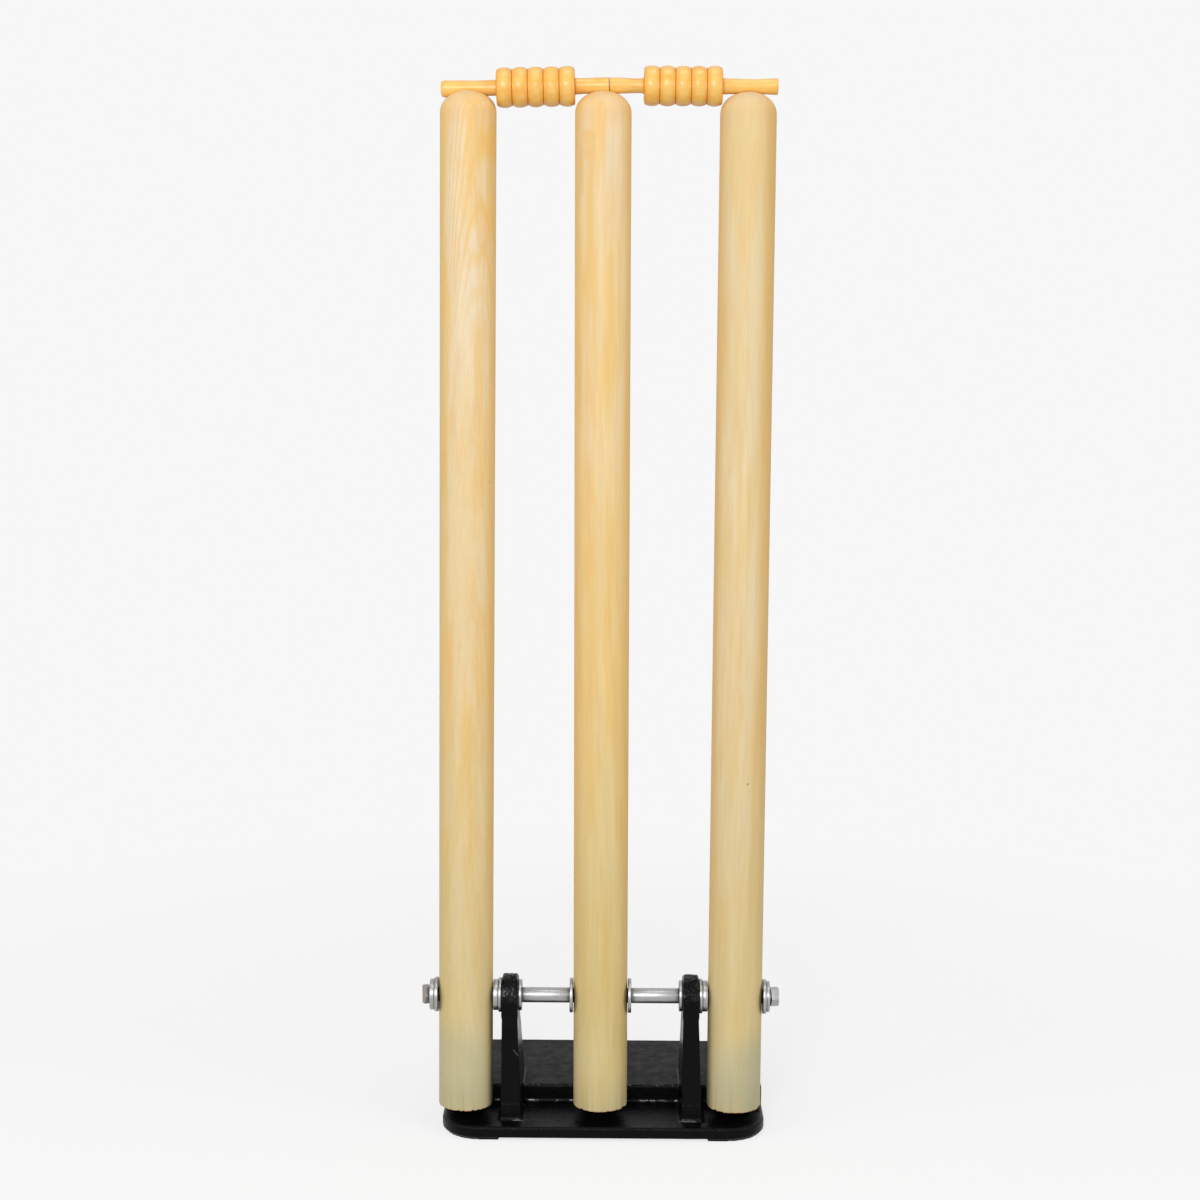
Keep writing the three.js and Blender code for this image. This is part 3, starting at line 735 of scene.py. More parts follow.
@dataclass(frozen=True)
class BailWood:
    """Lacquered wood, more orange and glossier than the stumps', with painted shade in the valleys between
    the beads, a painted shadow line where the two bails meet and a little darkening at the far tip.
    """

    shift: Colour
    start: Vector
    along: Vector
    barrel: Span
    tip: float
    bead_width: float
    pale: Colour = (0.94, 0.575, 0.155)
    # A deeper orange for patches and streaks, also painted into the valleys as shade.
    deep: Colour = (0.89, 0.42, 0.06)
    # Painted shade: the brown of the narrow line in each groove.
    groove_shade: Colour = (0.62, 0.25, 0.03)
    # A knot's own colour, also painted as the shadow in the gap where the two bails meet.
    knot_and_gap_shade: Colour = (0.10, 0.04, 0.015)
    knot_place: Colour | None = None
    knot_radius: float = 0.0011
    ring_width: float = 0.0031

    def make(self, name: str) -> Finish:
        """Builds the finish.

        Args:
            name: The material's name.

        Returns:
            The finish.
        """
        paint = Paint(name)
        place = paint.place
        mapped = place.mapped((1.0, 1.0, 1.0), self.shift, (0.0, QUARTER + 0.02, 0.0))
        rings, streaks, fibres = paint.effect(
            effects().wood, Vector=mapped, Ring_width=self.ring_width, Waviness=0.03
        )
        patches = place.mapped((60.0, 170.0, 170.0), self.shift).noise(3.0)
        tone = patches.ramp(0.42, 0.7, 0.0, 0.7).mix(self.pale, self.deep)
        tone = streaks.ramp(0.45, 0.7, 0.0, 0.25).mix(tone, self.deep)
        tone = (rings * 0.08).mix(tone, self.deep)
        # Painted shade in the valleys and a painted shadow line at the meeting end.
        valley_shade, groove_line_shade, ends = self.depths(place)
        tone = groove_line_shade.mix(valley_shade.mix(tone, self.deep), self.groove_shade)
        # Painted shadow of the gap at the meeting end, kept off the end faces themselves.
        edge = paint.facing(0).math("ABSOLUTE").ramp(0.9, 0.6)
        tone = (ends * edge).mix(tone, self.knot_and_gap_shade)
        if self.knot_place:
            tone = place.spot(self.knot_place, self.knot_radius).mix(tone, self.knot_and_gap_shade)
        surface = {
            "Base Color": tone,
            "Roughness": patches.ramp(0.3, 0.7, 0.28, 0.4),
            "Specular IOR Level": 0.35,
            "Coat Weight": 0.2,
            "Coat Roughness": 0.12,
        }
        return paint.finish("lacquered_wood", surface, fibres, 0.00005, 0.35)

    def depths(self, place: Field) -> tuple[Field, Field, Field]:
        """Masks the valleys between the beads, painted shade over lacquer that gathers there, and the two
        ends: a painted shadow line at the end where the bails meet, a lighter darkening at the far tip.

        Args:
            place: Object coordinates.

        Returns:
            The broad valley shade, the narrow groove line shade and the ends' own mask, all painted shade.
        """
        travel = place.vector("DOT_PRODUCT", self.along) - self.start.dot(self.along)
        first, last = self.barrel
        away = (travel - first).math("PINGPONG", self.bead_width / 2)
        within = travel.ramp(first - 0.0016, first - 0.0004) * travel.ramp(last + 0.0016, last + 0.0004)
        valley_shade = within * away.ramp(0.0038, 0.0004, 0.0, 0.9)
        groove_line_shade = within * away.ramp(0.0006, 0.0001, 0.0, 0.8)
        # The far tip darkened a little; the meeting end gets the painted shadow line.
        far_end = travel.ramp(self.tip - 0.0004, self.tip - 0.0001, 0.0, 0.3)
        return valley_shade, groove_line_shade, travel.ramp(0.0006, 0.0002, 0.0, 0.95) | far_end


@dataclass(frozen=True)
class CastEnamel:
    """Black enamel on a sand casting: dusty on the platform's flat, pooled and shiny in the fillets.

    Pairs of heights bound each effect, and front_part is where the pooling ends towards the back.
    """

    black: Colour = (0.002, 0.002, 0.0022)
    dusty: Colour = (0.0040, 0.0040, 0.0043)
    scuff: Colour = (0.09, 0.09, 0.09)
    platform: Span = (0.0216, 0.0246)
    fillets: Span = (0.0103, 0.0117)
    front_part: Span = (-0.0225, -0.0235)
    rim: Span = (0.0217, 0.0226)
    eyes: Span = (0.0945, 0.0985)
    scratch_start: Vector = Vector((-0.0614, -0.0640, 0.0622))
    scratch_end: Vector = Vector((-0.0578, -0.0636, 0.0580))
    scratch_width: Span = (0.0007, 0.0002)

    def make(self, name: str) -> Finish:
        """Builds the finish.

        Args:
            name: The material's name.

        Returns:
            The finish.
        """
        paint = Paint(name)
        place, height = paint.place, paint.place.part(2)
        speckle, patches = paint.effect(effects().mottle, Vector=place, Fine=1300.0, Broad=150.0)
        flat = height.band(*self.platform, 0.0004) * paint.facing(2).ramp(0.93, 0.99)
        grain = place.noise(3.0, 0.6, 520.0)
        dust = (patches.ramp(0.5, 0.8, 0.0, 0.12) | flat) * grain.ramp(0.3, 0.7, 0.45, 1.0)
        tone = self.scratched(place, speckle).mix(dust.mix(self.black, self.dusty), self.scuff)
        pooled = height.band(*self.fillets, 0.0002) | height.ramp(*self.eyes) * 0.3
        pooled = pooled * patches.ramp(0.5, 0.6) * place.part(1).ramp(*self.front_part)
        chips = height.band(*self.rim, 0.0002) * grain.ramp(0.54, 0.6, 0.0, 0.7)
        surface = {
            "Base Color": tone,
            "Roughness": flat * 0.25 + patches.ramp(0.3, 0.7, 0.2, 0.34),
            "Specular IOR Level": 0.08,
            "Coat Weight": pooled | chips,
            "Coat Roughness": 0.07,
        }
        swell = patches * flat.ramp(0.0, 1.0, 1.4, 0.2)
        calm = (pooled * -0.7 + 1.0) * speckle
        return paint.finish("black_enamel", surface, swell + calm, 0.0003, 0.85)

    def scratched(self, place: Field, speckle: Field) -> Field:
        """Masks the short scratch on the left upright.

        Args:
            place: Object coordinates.
            speckle: Fine noise that breaks it up.

        Returns:
            The mask.
        """
        along = self.scratch_end - self.scratch_start
        away = place.vector("SUBTRACT", self.scratch_start)
        line = away.vector("CROSS_PRODUCT", along.normalized()).vector("LENGTH").ramp(*self.scratch_width)
        within = away.vector("DOT_PRODUCT", along.normalized()).band(0.0, along.length, 0.0005)
        return line * within * speckle.ramp(0.35, 0.55)


@dataclass(frozen=True)
class ZincPlating:
    """Zinc-plated steel with a fine frost, darker patches and painted shade on the faces across the axle,
    where the parts shade one another.
    """

    tone: PlateTone
    roughness: float = 0.33
    face_shade: float = 0.0
    slot: str = "zinc_plate"

    def make(self, name: str) -> Finish:
        """Builds the finish.

        Args:
            name: The material's name.

        Returns:
            The finish.
        """
        paint = Paint(name)
        speckle, patches = paint.effect(effects().mottle, Vector=paint.place, Fine=2500.0, Broad=260.0)
        dark = tuple(part * 0.62 for part in self.tone.value)
        colour = patches.ramp(0.5, 0.8, 0.0, 0.5).mix(self.tone.value, dark)
        # Painted shade on the faces across the axle, darkest where washers and stumps press together.
        if self.face_shade:
            across = paint.facing(0).math("ABSOLUTE").ramp(0.45, 0.85, 0.0, self.face_shade)
            colour = across.mix(colour, PlateTone.SHADOWED.value)
        rough = speckle.ramp(0.3, 0.7, self.roughness - 0.06, self.roughness + 0.1)
        surface = {"Base Color": colour, "Roughness": rough, "Metallic": 1.0}
        return paint.finish(self.slot, surface, speckle, 0.00004, 0.5)


@dataclass(frozen=True)
class BlackSteel:
    """Oil-blacked spring wire."""

    colour: Colour = (0.02, 0.022, 0.035)
    worn: Colour = (0.09, 0.09, 0.1)

    def make(self, name: str) -> Finish:
        """Builds the finish.

        Args:
            name: The material's name.

        Returns:
            The finish.
        """
        paint = Paint(name)
        speckle, patches = paint.effect(effects().mottle, Vector=paint.place, Fine=1800.0, Broad=300.0)
        surface = {
            "Base Color": patches.ramp(0.5, 0.8, 0.0, 0.7).mix(self.colour, self.worn),
            "Roughness": speckle.ramp(0.3, 0.7, 0.28, 0.42),
            "Metallic": 0.7,
        }
        return paint.finish("spring_steel", surface, speckle, 0.00003, 0.5)


def dress(obj: Object, finish: Finish, smooth: float, node: str, body: str = "") -> None:
    """Finishes a piece.

    Args:
        obj: The piece.
        finish: Its finish.
        smooth: The angle in degrees from which its edges stay sharp.
        node: The solid that it stands for.
        body: The body that it moves with, if it has one.
    """
    pick(obj)
    bpy.ops.object.shade_smooth_by_angle(angle=math.radians(smooth))
    obj.data.materials.clear()
    obj.data.materials.append(finish.material)
    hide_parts(node)
    if body:
        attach(obj, body)


class Finishes:
    """The finishes that several pieces share, made once."""

    def __init__(self) -> None:
        """Makes them."""
        self.enamel = CastEnamel().make("Black enamel")
        self.bright = ZincPlating(PlateTone.BRIGHT).make("Bright zinc")
        # Washers with painted shade on their faces across the axle.
        self.washer = ZincPlating(PlateTone.BRIGHT, face_shade=0.8).make("Shaded zinc")
        self.yellowed = ZincPlating(PlateTone.YELLOWED, 0.38, slot="yellow_zinc").make("Yellowed zinc")
        # The pivot sleeves painted near black as the shade in the gaps beside the stumps.
        self.shadowed = ZincPlating(PlateTone.SHADOWED, 0.4).make("Shadowed zinc")
        self.spring = BlackSteel().make("Black spring steel")


# Sub-assemblies


@dataclass
class Bail:
    """One turned bail, from the end where the two meet to its far tip."""

    side: Side
    meeting: float
    height: float
    slope: float
    spigot_radius: float = 0.0055
    short_spigot: float = 0.0231
    long_spigot: float = 0.0373
    bead_width: float = 0.01055
    bead_count: int = 5
    bead_steps: int = 14
    barrel_radius: float = 0.0134
    valley: float = 0.0015
    slit: float = 0.0003
    barrel_end: float = 0.0026
    end_edge: float = 0.0003
    tip_round: float = 0.0008
    wobble: float = 0.00005

    @property
    def barrel_stop(self) -> float:
        """Where the barrel ends."""
        return self.short_spigot + self.bead_count * self.bead_width

    @property
    def tip(self) -> float:
        """Where the bail ends."""
        return self.barrel_stop + self.long_spigot

    @property
    def start(self) -> Vector:
        """The middle of the end that faces the other bail."""
        return Vector((self.meeting, AXLE.y, self.height))

    @property
    def along(self) -> Vector:
        """The direction from that end to the tip."""
        return Vector((math.cos(self.slope), 0.0, math.sin(self.slope))) * self.side.value

    def hand_cut(self) -> tuple[Profile, Profile]:
        """How the maker's hand left the two spigots: differences in radius at shares of their lengths.

        Returns:
            The short spigot's and the long spigot's.
        """
        if self.side is Side.LEFT:
            short = [(0.04, 0.0), (0.2, 0.0), (0.45, -0.0002), (0.7, -0.00035), (0.9, -0.0001), (1.0, 0.0001)]
            long = [(0.0, -0.0001), (0.2, -0.0003), (0.4, -0.0003), (0.6, -0.0002), (0.8, 0.0), (0.9, 0.0001)]
            return short, long
        short = [(0.04, -0.0001), (0.25, -0.0001), (0.5, -0.0003), (0.75, -0.0006), (0.93, -0.0006)]
        short += [(1.0, 0.0)]
        long = [(0.0, 0.0), (0.12, -0.0003), (0.35, -0.0004), (0.6, -0.0006), (0.8, -0.0003), (0.94, -0.0001)]
        return short, long

    def profile(self) -> Profile:
        """The bail's profile: the short spigot, the barrel and the long spigot with its rounded tip.

        Returns:
            Pairs of radius and distance from the meeting end.
        """
        short, long = self.hand_cut()
        edge, radius, rounded = self.end_edge, self.spigot_radius, self.tip_round
        points: Profile = [(0.0, 0.0), (radius - edge, 0.0), (radius - edge * 0.25, edge * 0.35)]
        points += [(radius + more, self.short_spigot * share) for share, more in short]
        points += self.barrel()
        points += [(radius + more, self.barrel_stop + self.long_spigot * share) for share, more in long]
        for cos, sin in swept(0.0, QUARTER, 4):
            points.append((radius - rounded * (1 - cos), self.tip - rounded * (1 - sin)))
        return [*points, (0.0, self.tip)]

    def barrel(self) -> Profile:
        """The beads, each a shallow arch between two narrow valleys.

        Returns:
            The barrel's part of the profile.
        """
        points: Profile = []
        length = self.bead_count * self.bead_width
        for bead, step in product(range(self.bead_count), range(self.bead_steps + 1)):
            if bead and not step:
                continue
            share = 0.5 - 0.5 * math.cos(math.pi * step / self.bead_steps)
            place = (bead + share) * self.bead_width
            dip = self.valley * abs(2 * share - 1) ** 2.4
            if step in (0, self.bead_steps) and 0 < place < length - self.end_edge:
                dip += self.slit
            short = max(self.barrel_end - min(place, length - place), 0.0)
            corner = self.barrel_end - math.sqrt(max(self.barrel_end**2 - short**2, 0.0))
            points.append((self.barrel_radius - max(dip, corner), self.short_spigot + place))
        return points

    def uneven(self, obj: Object) -> None:
        """Presses the round wood a little out of true.

        Args:
            obj: The bail, straight and lying along X.
        """
        rough = Random(5 + self.side.value)
        phase = [rough.uniform(0, math.tau) for _ in range(4)]
        for corner in obj.data.vertices:
            out = Vector((0.0, corner.co.y - AXLE.y, corner.co.z - self.height))
            if out.length < MM:
                continue
            angle, place = math.atan2(out.z, out.y), corner.co.x * 160
            swell = math.sin(2 * angle + place + phase[0]) + math.sin(3 * angle - 1.7 * place + phase[1])
            swell += 0.6 * math.sin(5 * angle + 2.3 * place + phase[2])
            corner.co += out.normalized() * (swell - 0.4) * self.wobble

    def build(self) -> None:
        """Turns the bail, lays it in its grooves and dresses it."""
        word, left = self.side.word, self.side is Side.LEFT
        obj = turn(f"turned_bail_{word}", self.profile(), self.start, X_AXIS * self.side.value, 96)
        self.uneven(obj)
        obj.data.transform(tilted(self.start, -self.slope))
        wood = BailWood(
            shift=(0.0, 0.035, 0.01) if left else (0.4, 0.04, 0.03),
            start=self.start,
            along=self.along,
            barrel=(self.short_spigot, self.barrel_stop),
            tip=self.tip,
            bead_width=self.bead_width,
            knot_place=(-0.0105, -0.0522, 0.7342) if left else None,
        )
        dress(obj, wood.make(f"Bail wood {word}"), 40.0, f"bail_{word}", f"bail_{word}")


STUMP_WOODS = {
    Station.LEFT: StumpWood(
        shift=(0.105, -0.0172, 0.0),
        turned=(-0.08, 0.004, 0.0),
        stain=(0.3, 0.0, 0.1),
        spots=(
            Spot((-0.0785, -0.0591, 0.4622), 0.0009, PIN_MARK),
            Spot((-0.106, -0.064, 0.045), 0.045, DAMP, 0.35),
            Spot((-0.0775, -0.056, 0.69), 0.017, RESIN, 0.7),
        ),
        figure=0.7,
        figured=(0.54, 0.64),
        waviness=0.02,
        ring_width=0.0021,
        sheen_tone=(0.84, 0.69, 0.47),
        pale=(0.84, 0.65, 0.36),
        golden=(0.85, 0.545, 0.175),
        low_shade_tone=(0.77, 0.63, 0.335),
        low_shade_gold=(0.76, 0.57, 0.24),
    ),
    Station.MIDDLE: StumpWood(
        shift=(0.035, 0.12, 0.3),
        turned=(-0.012, 0.02, 1.7),
        stain=(1.4, 0.5, 0.9),
        spots=(
            Spot((-0.0115, -0.064, 0.694), 0.0075, RESIN, 0.5),
            Spot((-0.0115, -0.064, 0.684), 0.007, RESIN, 0.4),
        ),
    ),
    Station.RIGHT: StumpWood(
        shift=(-0.07, 0.10, 0.7),
        turned=(0.016, -0.018, 2.9),
        stain=(2.3, 1.1, 0.4),
        spots=(
            Spot((0.1008, -0.0671, 0.255), 0.0009, PIN_MARK),
            Spot((0.114, -0.058, 0.04), 0.045, DAMP, 0.5),
        ),
        sheen_tone=(0.79, 0.64, 0.385),
        pale=(0.82, 0.66, 0.40),
        golden=(0.79, 0.565, 0.235),
        # Painted shade on the flanks, reaching further round on the right side.
        edge=(0.77, 0.47, 0.13),
        left_flank_shade=(-0.7, -1.0),
        right_flank_shade=(0.3, 0.85),
        rosy=(0.80, 0.545, 0.26),
        low_shade_tone=(0.77, 0.635, 0.345),
        low_shade_gold=(0.76, 0.57, 0.25),
    ),
}


@dataclass
class Stump:
    """One stump: a turned length of wood with a domed, grooved top, a bore for the axle and a sawn foot."""

    station: Station
    bails: tuple[Bail, ...]
    radius: float = 0.01905
    foot: float = 0.018
    length: float = 0.7076
    dome: float = 0.015
    foot_edge: float = 0.0008
    bore_radius: float = 0.00575
    bore_edge: float = 0.0008
    seat_gap: float = 0.0003
    pilot_radius: float = 0.0018
    pilot_depth: float = 0.0143
    pilot_drop: float = 0.0476
    bands: int = 24
    rings: int = 14
    chips: int = 14
    deepest_chip: float = 0.0007

    def profile(self) -> Profile:
        """The stump's profile.

        Returns:
            Pairs of radius and height above the axle.
        """
        radius, edge, foot = self.radius, self.foot_edge, self.foot - AXLE.z
        crest = foot + self.length
        shoulder = crest - self.dome
        points: Profile = [(0.0, foot), (radius * 0.6, foot), (radius - edge, foot)]
        points += [(radius - edge * 0.25, foot + edge * 0.35), (radius, foot + edge)]
        points += [(radius, foot + (shoulder - foot) * band / self.bands) for band in range(1, self.bands)]
        for cos, sin in swept(0.0, QUARTER, self.rings)[:-1]:
            points.append((radius * cos, shoulder + self.dome * sin))
        return [*points, (0.0, crest)]

    def ragged_foot(self, obj: Object) -> None:
        """Leaves the sawn edge at the foot torn, with a chip here and there.

        Args:
            obj: The stump, upright.
        """
        rough = Random(3 + list(Station).index(self.station))
        limits = ((0, math.tau), (0.02, 0.09), (0.0001, 0.0005))
        chips = [[rough.uniform(*limit) for limit in limits] for _ in range(self.chips)]
        for corner in obj.data.vertices:
            out = (corner.co - self.station.centre).xy
            if corner.co.z > self.foot + self.foot_edge * 1.2 or out.length < self.radius * 0.8:
                continue
            around = math.atan2(out.y, out.x) % math.tau
            lift = sum(deep for angle, wide, deep in chips if abs(around - angle) < wide)
            corner.co.z += min(lift, self.deepest_chip) + rough.uniform(-0.0002, 0.00034)

    def drills(self) -> Iterator[Object]:
        """The tools that bore the stump: for the bore's two broken edges, the bore and the screw eye's hole.

        Returns:
            The tools, each made when it is wanted.
        """
        centre, edge, radius = self.station.centre, self.bore_edge, self.bore_radius
        reach = self.radius * 1.2
        for out in (-X_AXIS, X_AXIS):
            face = centre + out * (self.radius - edge)
            yield rod("bore_edge", face, face + out * edge * 2, radius, 48, radius + edge * 2)
        yield rod("bore", centre - X_AXIS * reach, centre + X_AXIS * reach, radius)
        low = centre - Z_AXIS * self.pilot_drop
        inner, outer = low + Y_AXIS * (self.radius - self.pilot_depth), low + Y_AXIS * reach
        yield rod("pilot", inner, outer, self.pilot_radius, 32)

    def build(self) -> None:
        """Turns the stump, bores it, cuts the bails' grooves and dresses it."""
        word, centre = self.station.word, self.station.centre
        obj = turn(f"turned_stump_{word}", self.profile(), centre, Z_AXIS, 192)
        self.ragged_foot(obj)
        for drill in self.drills():
            combine(obj, "DIFFERENCE", drill)
        obj.data.transform(tilted(centre, self.station.lean))
        for bail in self.bails:
            low, high = bail.start - bail.along * MM, bail.start + bail.along * 0.2
            combine(obj, "DIFFERENCE", rod("groove", low, high, bail.spigot_radius + self.seat_gap))
        finish = STUMP_WOODS[self.station].make(f"Stump wood {word}")
        dress(obj, finish, 35.0, f"stump_{word}", f"stump_{word}")


@dataclass
class AxleHardware:
    """The bolt, its nut, the washers, the spacer tubes and the pivot sleeves."""

    finishes: Finishes
    hole_radius: float = 0.0042
    shank_radius: float = 0.0039
    head_height: float = 0.0055
    across_flats: float = 0.012
    head_roll: float = math.radians(23.5)
    nut_roll: float = math.radians(11.5)
    corner_fall: float = math.radians(30)
    arris: float = 0.00025
    chamfer: float = 0.0009
    washer_edge: float = 0.00035
    tube_edge: float = 0.0003

    def ring(self, node: str, name: str, edge: float, finish: Finish) -> None:
        """Turns a washer, tube or sleeve in the place of its node.

        Args:
            node: The node.
            name: The piece's name.
            edge: How much its edges are broken.
            finish: Its finish.
        """
        low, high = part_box(node)
        half, outer, hole = (high.x - low.x) / 2, (high.z - low.z) / 2, self.hole_radius
        cut = [(0.0, edge), (edge * 0.3, edge * 0.3), (edge, 0.0)]
        corners = [(hole + a, b - half) for a, b in cut]
        corners += [(outer - a, b - half) for a, b in reversed(cut)]
        corners += [(outer - a, half - b) for a, b in cut]
        corners += [(hole + a, half - b) for a, b in reversed(cut)]
        obj = turn(name, [*corners, corners[0]], AXLE.at((low.x + high.x) / 2))
        dress(obj, finish, 50.0, node, "base")

    def hexagon(self, name: str, start: float, end: float, roll: float, both_ends: bool) -> Object:
        """Makes a hexagon on the axle with its corners turned off.

        Args:
            name: The piece's name.
            start: Its lower end on the axle.
            end: Its upper end.
            roll: How far its front corner is turned up from level.
            both_ends: Whether its upper end is chamfered too.

        Returns:
            The hexagon.
        """
        flat = self.across_flats / 2
        corner = flat / math.cos(math.pi / 6)
        middle, turned = AXLE.at((start + end) / 2), (-roll, QUARTER, 0.0)
        pick()
        bpy.ops.mesh.primitive_cylinder_add(
            vertices=6, radius=corner, depth=end - start, location=middle, rotation=turned
        )
        obj = named(name)
        with editing(obj):
            bpy.ops.mesh.select_all(action="SELECT")
            bevel(self.arris, 3)
        reach = corner * 1.1
        fall = (reach - flat) * math.tan(self.corner_fall)
        blank: Profile = [(0.0, start), (flat, start), (reach, start + fall)]
        blank += [(reach, end - fall), (flat, end)] if both_ends else [(reach, end)]
        combine(obj, "INTERSECT", turn("blank", [*blank, (0.0, end)], AXLE.at(0.0)))
        return obj

    def bolt(self) -> None:
        """Makes the bolt: a forged head, a plain shank and a chamfered tip."""
        low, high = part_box("axle_bolt")
        face, tip, radius = low.x + self.head_height, high.x, self.shank_radius
        inside = face - self.head_height / 2
        obj = self.hexagon("axle_bolt_head", low.x, face, self.head_roll, False)
        profile = [(0.0, inside), (radius, inside), (radius, tip - self.chamfer)]
        profile += [(radius - self.chamfer, tip), (0.0, tip)]
        combine(obj, "UNION", turn("axle_bolt_shank", profile, AXLE.at(0.0)))
        obj.name = "long_axle_bolt"
        dress(obj, self.finishes.yellowed, 25.0, "axle_bolt", "base")

    def nut(self) -> None:
        """Makes the nut, with its hole countersunk at both faces."""
        low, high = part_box("axle_nut")
        obj = self.hexagon("hex_nut", low.x, high.x, self.nut_roll, True)
        hole, wide = self.hole_radius, self.hole_radius + self.chamfer + MM
        profile = [(0.0, low.x - MM), (wide, low.x - MM), (hole, low.x + self.chamfer)]
        profile += [(hole, high.x - self.chamfer), (wide, high.x + MM), (0.0, high.x + MM)]
        combine(obj, "DIFFERENCE", turn("nut_hole", profile, AXLE.at(0.0)))
        dress(obj, self.finishes.bright, 25.0, "axle_nut", "base")

    def build(self) -> None:
        """Makes all the hardware."""
        self.bolt()
        self.nut()
        places = ("middle_stump", "upright_inner", "upright_outer", "stump_inner", "stump_outer", "end")
        for side in Side:
            for place in places:
                node = f"washer_{side.word}_{place}"
                self.ring(node, f"plain_{node}", self.washer_edge, self.finishes.washer)
            tube = f"tube_{side.word}"
            self.ring(f"spacer_{tube}", f"bright_{tube}", self.tube_edge, self.finishes.bright)
        for station in Station:
            sleeve = f"sleeve_{station.word}"
            # Painted shade: the sleeves are painted dark as the gaps beside the stumps are shaded.
            self.ring(f"pivot_{sleeve}", f"steel_{sleeve}", self.tube_edge, self.finishes.shadowed)
        log.info("axle hardware made")


@dataclass
class BaseCasting:
    """The cast base: apron, platform, two uprights with their fillets, stops, pads and hollows below."""

    finishes: Finishes
    left: float = -0.112
    right: float = 0.1171
    front: float = -0.0763
    back: float = 0.0763
    corner: float = 0.028
    pad_height: float = 0.0019
    apron_top: float = 0.010
    platform_top: float = 0.0228
    step: float = -0.0242
    step_corner: float = 0.003
    step_fillet: float = 0.0017
    edge: float = 0.0019
    lower_edge: float = 0.0008
    upright_x: float = 0.0639
    upright_half: float = 0.0059
    shank_half: float = 0.0055
    foot_half: float = 0.0073
    foot_shift: float = 0.0012
    top_half: float = 0.0047
    taper: float = 0.0036
    shank_levels: Span = (0.03, 0.055)
    waist: float = 0.05
    eye_radius: float = 0.015
    gusset: float = 0.063
    fillet: float = 0.0028
    arris: float = 0.001
    seat_drop: float = 0.01215
    axle_hole: float = 0.0045
    stop_half: float = 0.013
    stop_reach: float = 0.0125
    stop_drop: float = 0.0006
    stop_corners: Span = (0.002, 0.0005)
    stop_edge: float = 0.0012
    cradle: float = 0.01945
    anchor_setback: float = 0.0281
    anchor_hole: float = 0.0023
    anchor_depth: float = 0.0097
    pad_radius: float = 0.0075
    pad_rise: float = 0.0015
    foot_reach: float = 0.041
    front_foot: float = 0.024
    back_foot: float = 0.011
    foot_inset: float = 0.002
    rib_half: float = 0.0045
    hollow_margin: float = 0.013
    hollow_depth: float = 0.007
    hollow_corner: float = 0.008
    hollow_edge: float = 0.0015
    voxel: float = 0.00075
    kept_share: float = 0.47
    sand_grain: float = 0.009
    sand_height: float = 0.00014
    grit_grain: float = 0.0026
    grit_height: float = 0.0014

    def slab(
        self, name: str, low: Vector, high: Vector, radii: Span, upper: float = 0.0, lower: float = 0.0
    ) -> Object:
        """Makes a slab with rounded corners and edges.

        Args:
            name: The piece's name.
            low: Its lowest corner.
            high: Its highest corner.
            radii: The radii of its front and back corners.
            upper: The radius of its upper edge.
            lower: The radius of its lower edge.

        Returns:
            The slab.
        """
        obj = block(name, low, high)
        with editing(obj):
            for (y, radius), x in product(((low.y, radii[0]), (high.y, radii[1])), (low.x, high.x)):
                choose(obj, "EDGE", lambda p, x=x, y=y: abs(p.x - x) < NEAR and abs(p.y - y) < NEAR)
                bevel(radius, 20)
            for z, radius in ((high.z, upper), (low.z, lower)):
                if radius:
                    choose(obj, "FACE", lambda p, z=z: abs(p.z - z) < NEAR)
                    bevel(radius, 5, rim=True)
        return obj

    def upright(self, middle: float) -> Object:
        """Makes one upright: its side outline pulled sideways, tapered level by level and flared at its foot.

        Args:
            middle: The x of its middle.

        Returns:
            The upright.
        """
        eye, drop, half = self.eye_radius, AXLE.z - self.platform_top, self.upright_half
        lean = math.atan2(-drop, self.gusset) + math.acos(eye / math.hypot(self.gusset, drop))
        start, seat, crown = self.apron_top + self.fillet, AXLE.z - self.seat_drop, AXLE.z + eye
        outline = [(-eye, z) for z in (start, *self.shank_levels, seat)]
        outline += [(eye * cos, AXLE.z + eye * sin) for cos, sin in swept(math.pi, lean, 20)]
        outline += [(self.gusset, self.platform_top), (self.gusset, start)]
        points = [Vector((middle - half, AXLE.y + y, z)) for y, z in outline]
        obj = prism("upright", points, X_AXIS * 2 * half)
        with editing(obj):
            low_levels = (self.platform_top, self.waist, seat - MM, seat)
            for level in (*low_levels, crown - self.taper, crown - self.taper / 2):
                bpy.ops.mesh.select_all(action="SELECT")
                bpy.ops.mesh.bisect(plane_co=Z_AXIS * level, plane_no=Z_AXIS)
        for corner in obj.data.vertices:
            wide, share = half, max(seat - corner.co.z, 0.0) / (seat - self.apron_top)
            if corner.co.z < seat - MM / 2:
                wide = self.shank_half + (self.foot_half - self.shank_half) * share
            elif corner.co.z > crown - self.taper:
                wide += (self.top_half - half) * (corner.co.z - crown + self.taper) / self.taper
            corner.co.x = middle + math.copysign(wide, corner.co.x - middle) + self.foot_shift * share
        with editing(obj):
            choose(obj, "EDGE", lambda p: p.z > start + NEAR * 10 and self.on_front(p, middle), middle=True)
            bevel(self.arris, 2)
            choose(obj, "FACE", lambda p: abs(p.z - start) < NEAR)
            self.flare(Vector((middle + self.foot_shift, AXLE.y + (self.gusset - eye) / 2, start)))
        tidy_shell(obj)
        return obj

    def on_front(self, place: Vector, middle: float) -> bool:
        """Whether a place on an upright is on the outer edges of its front or of its crown."""
        front = AXLE.y - self.eye_radius + NEAR
        return abs(place.x - middle) > self.top_half - 2 * MM and (place.y < front or place.z > AXLE.z - NEAR)

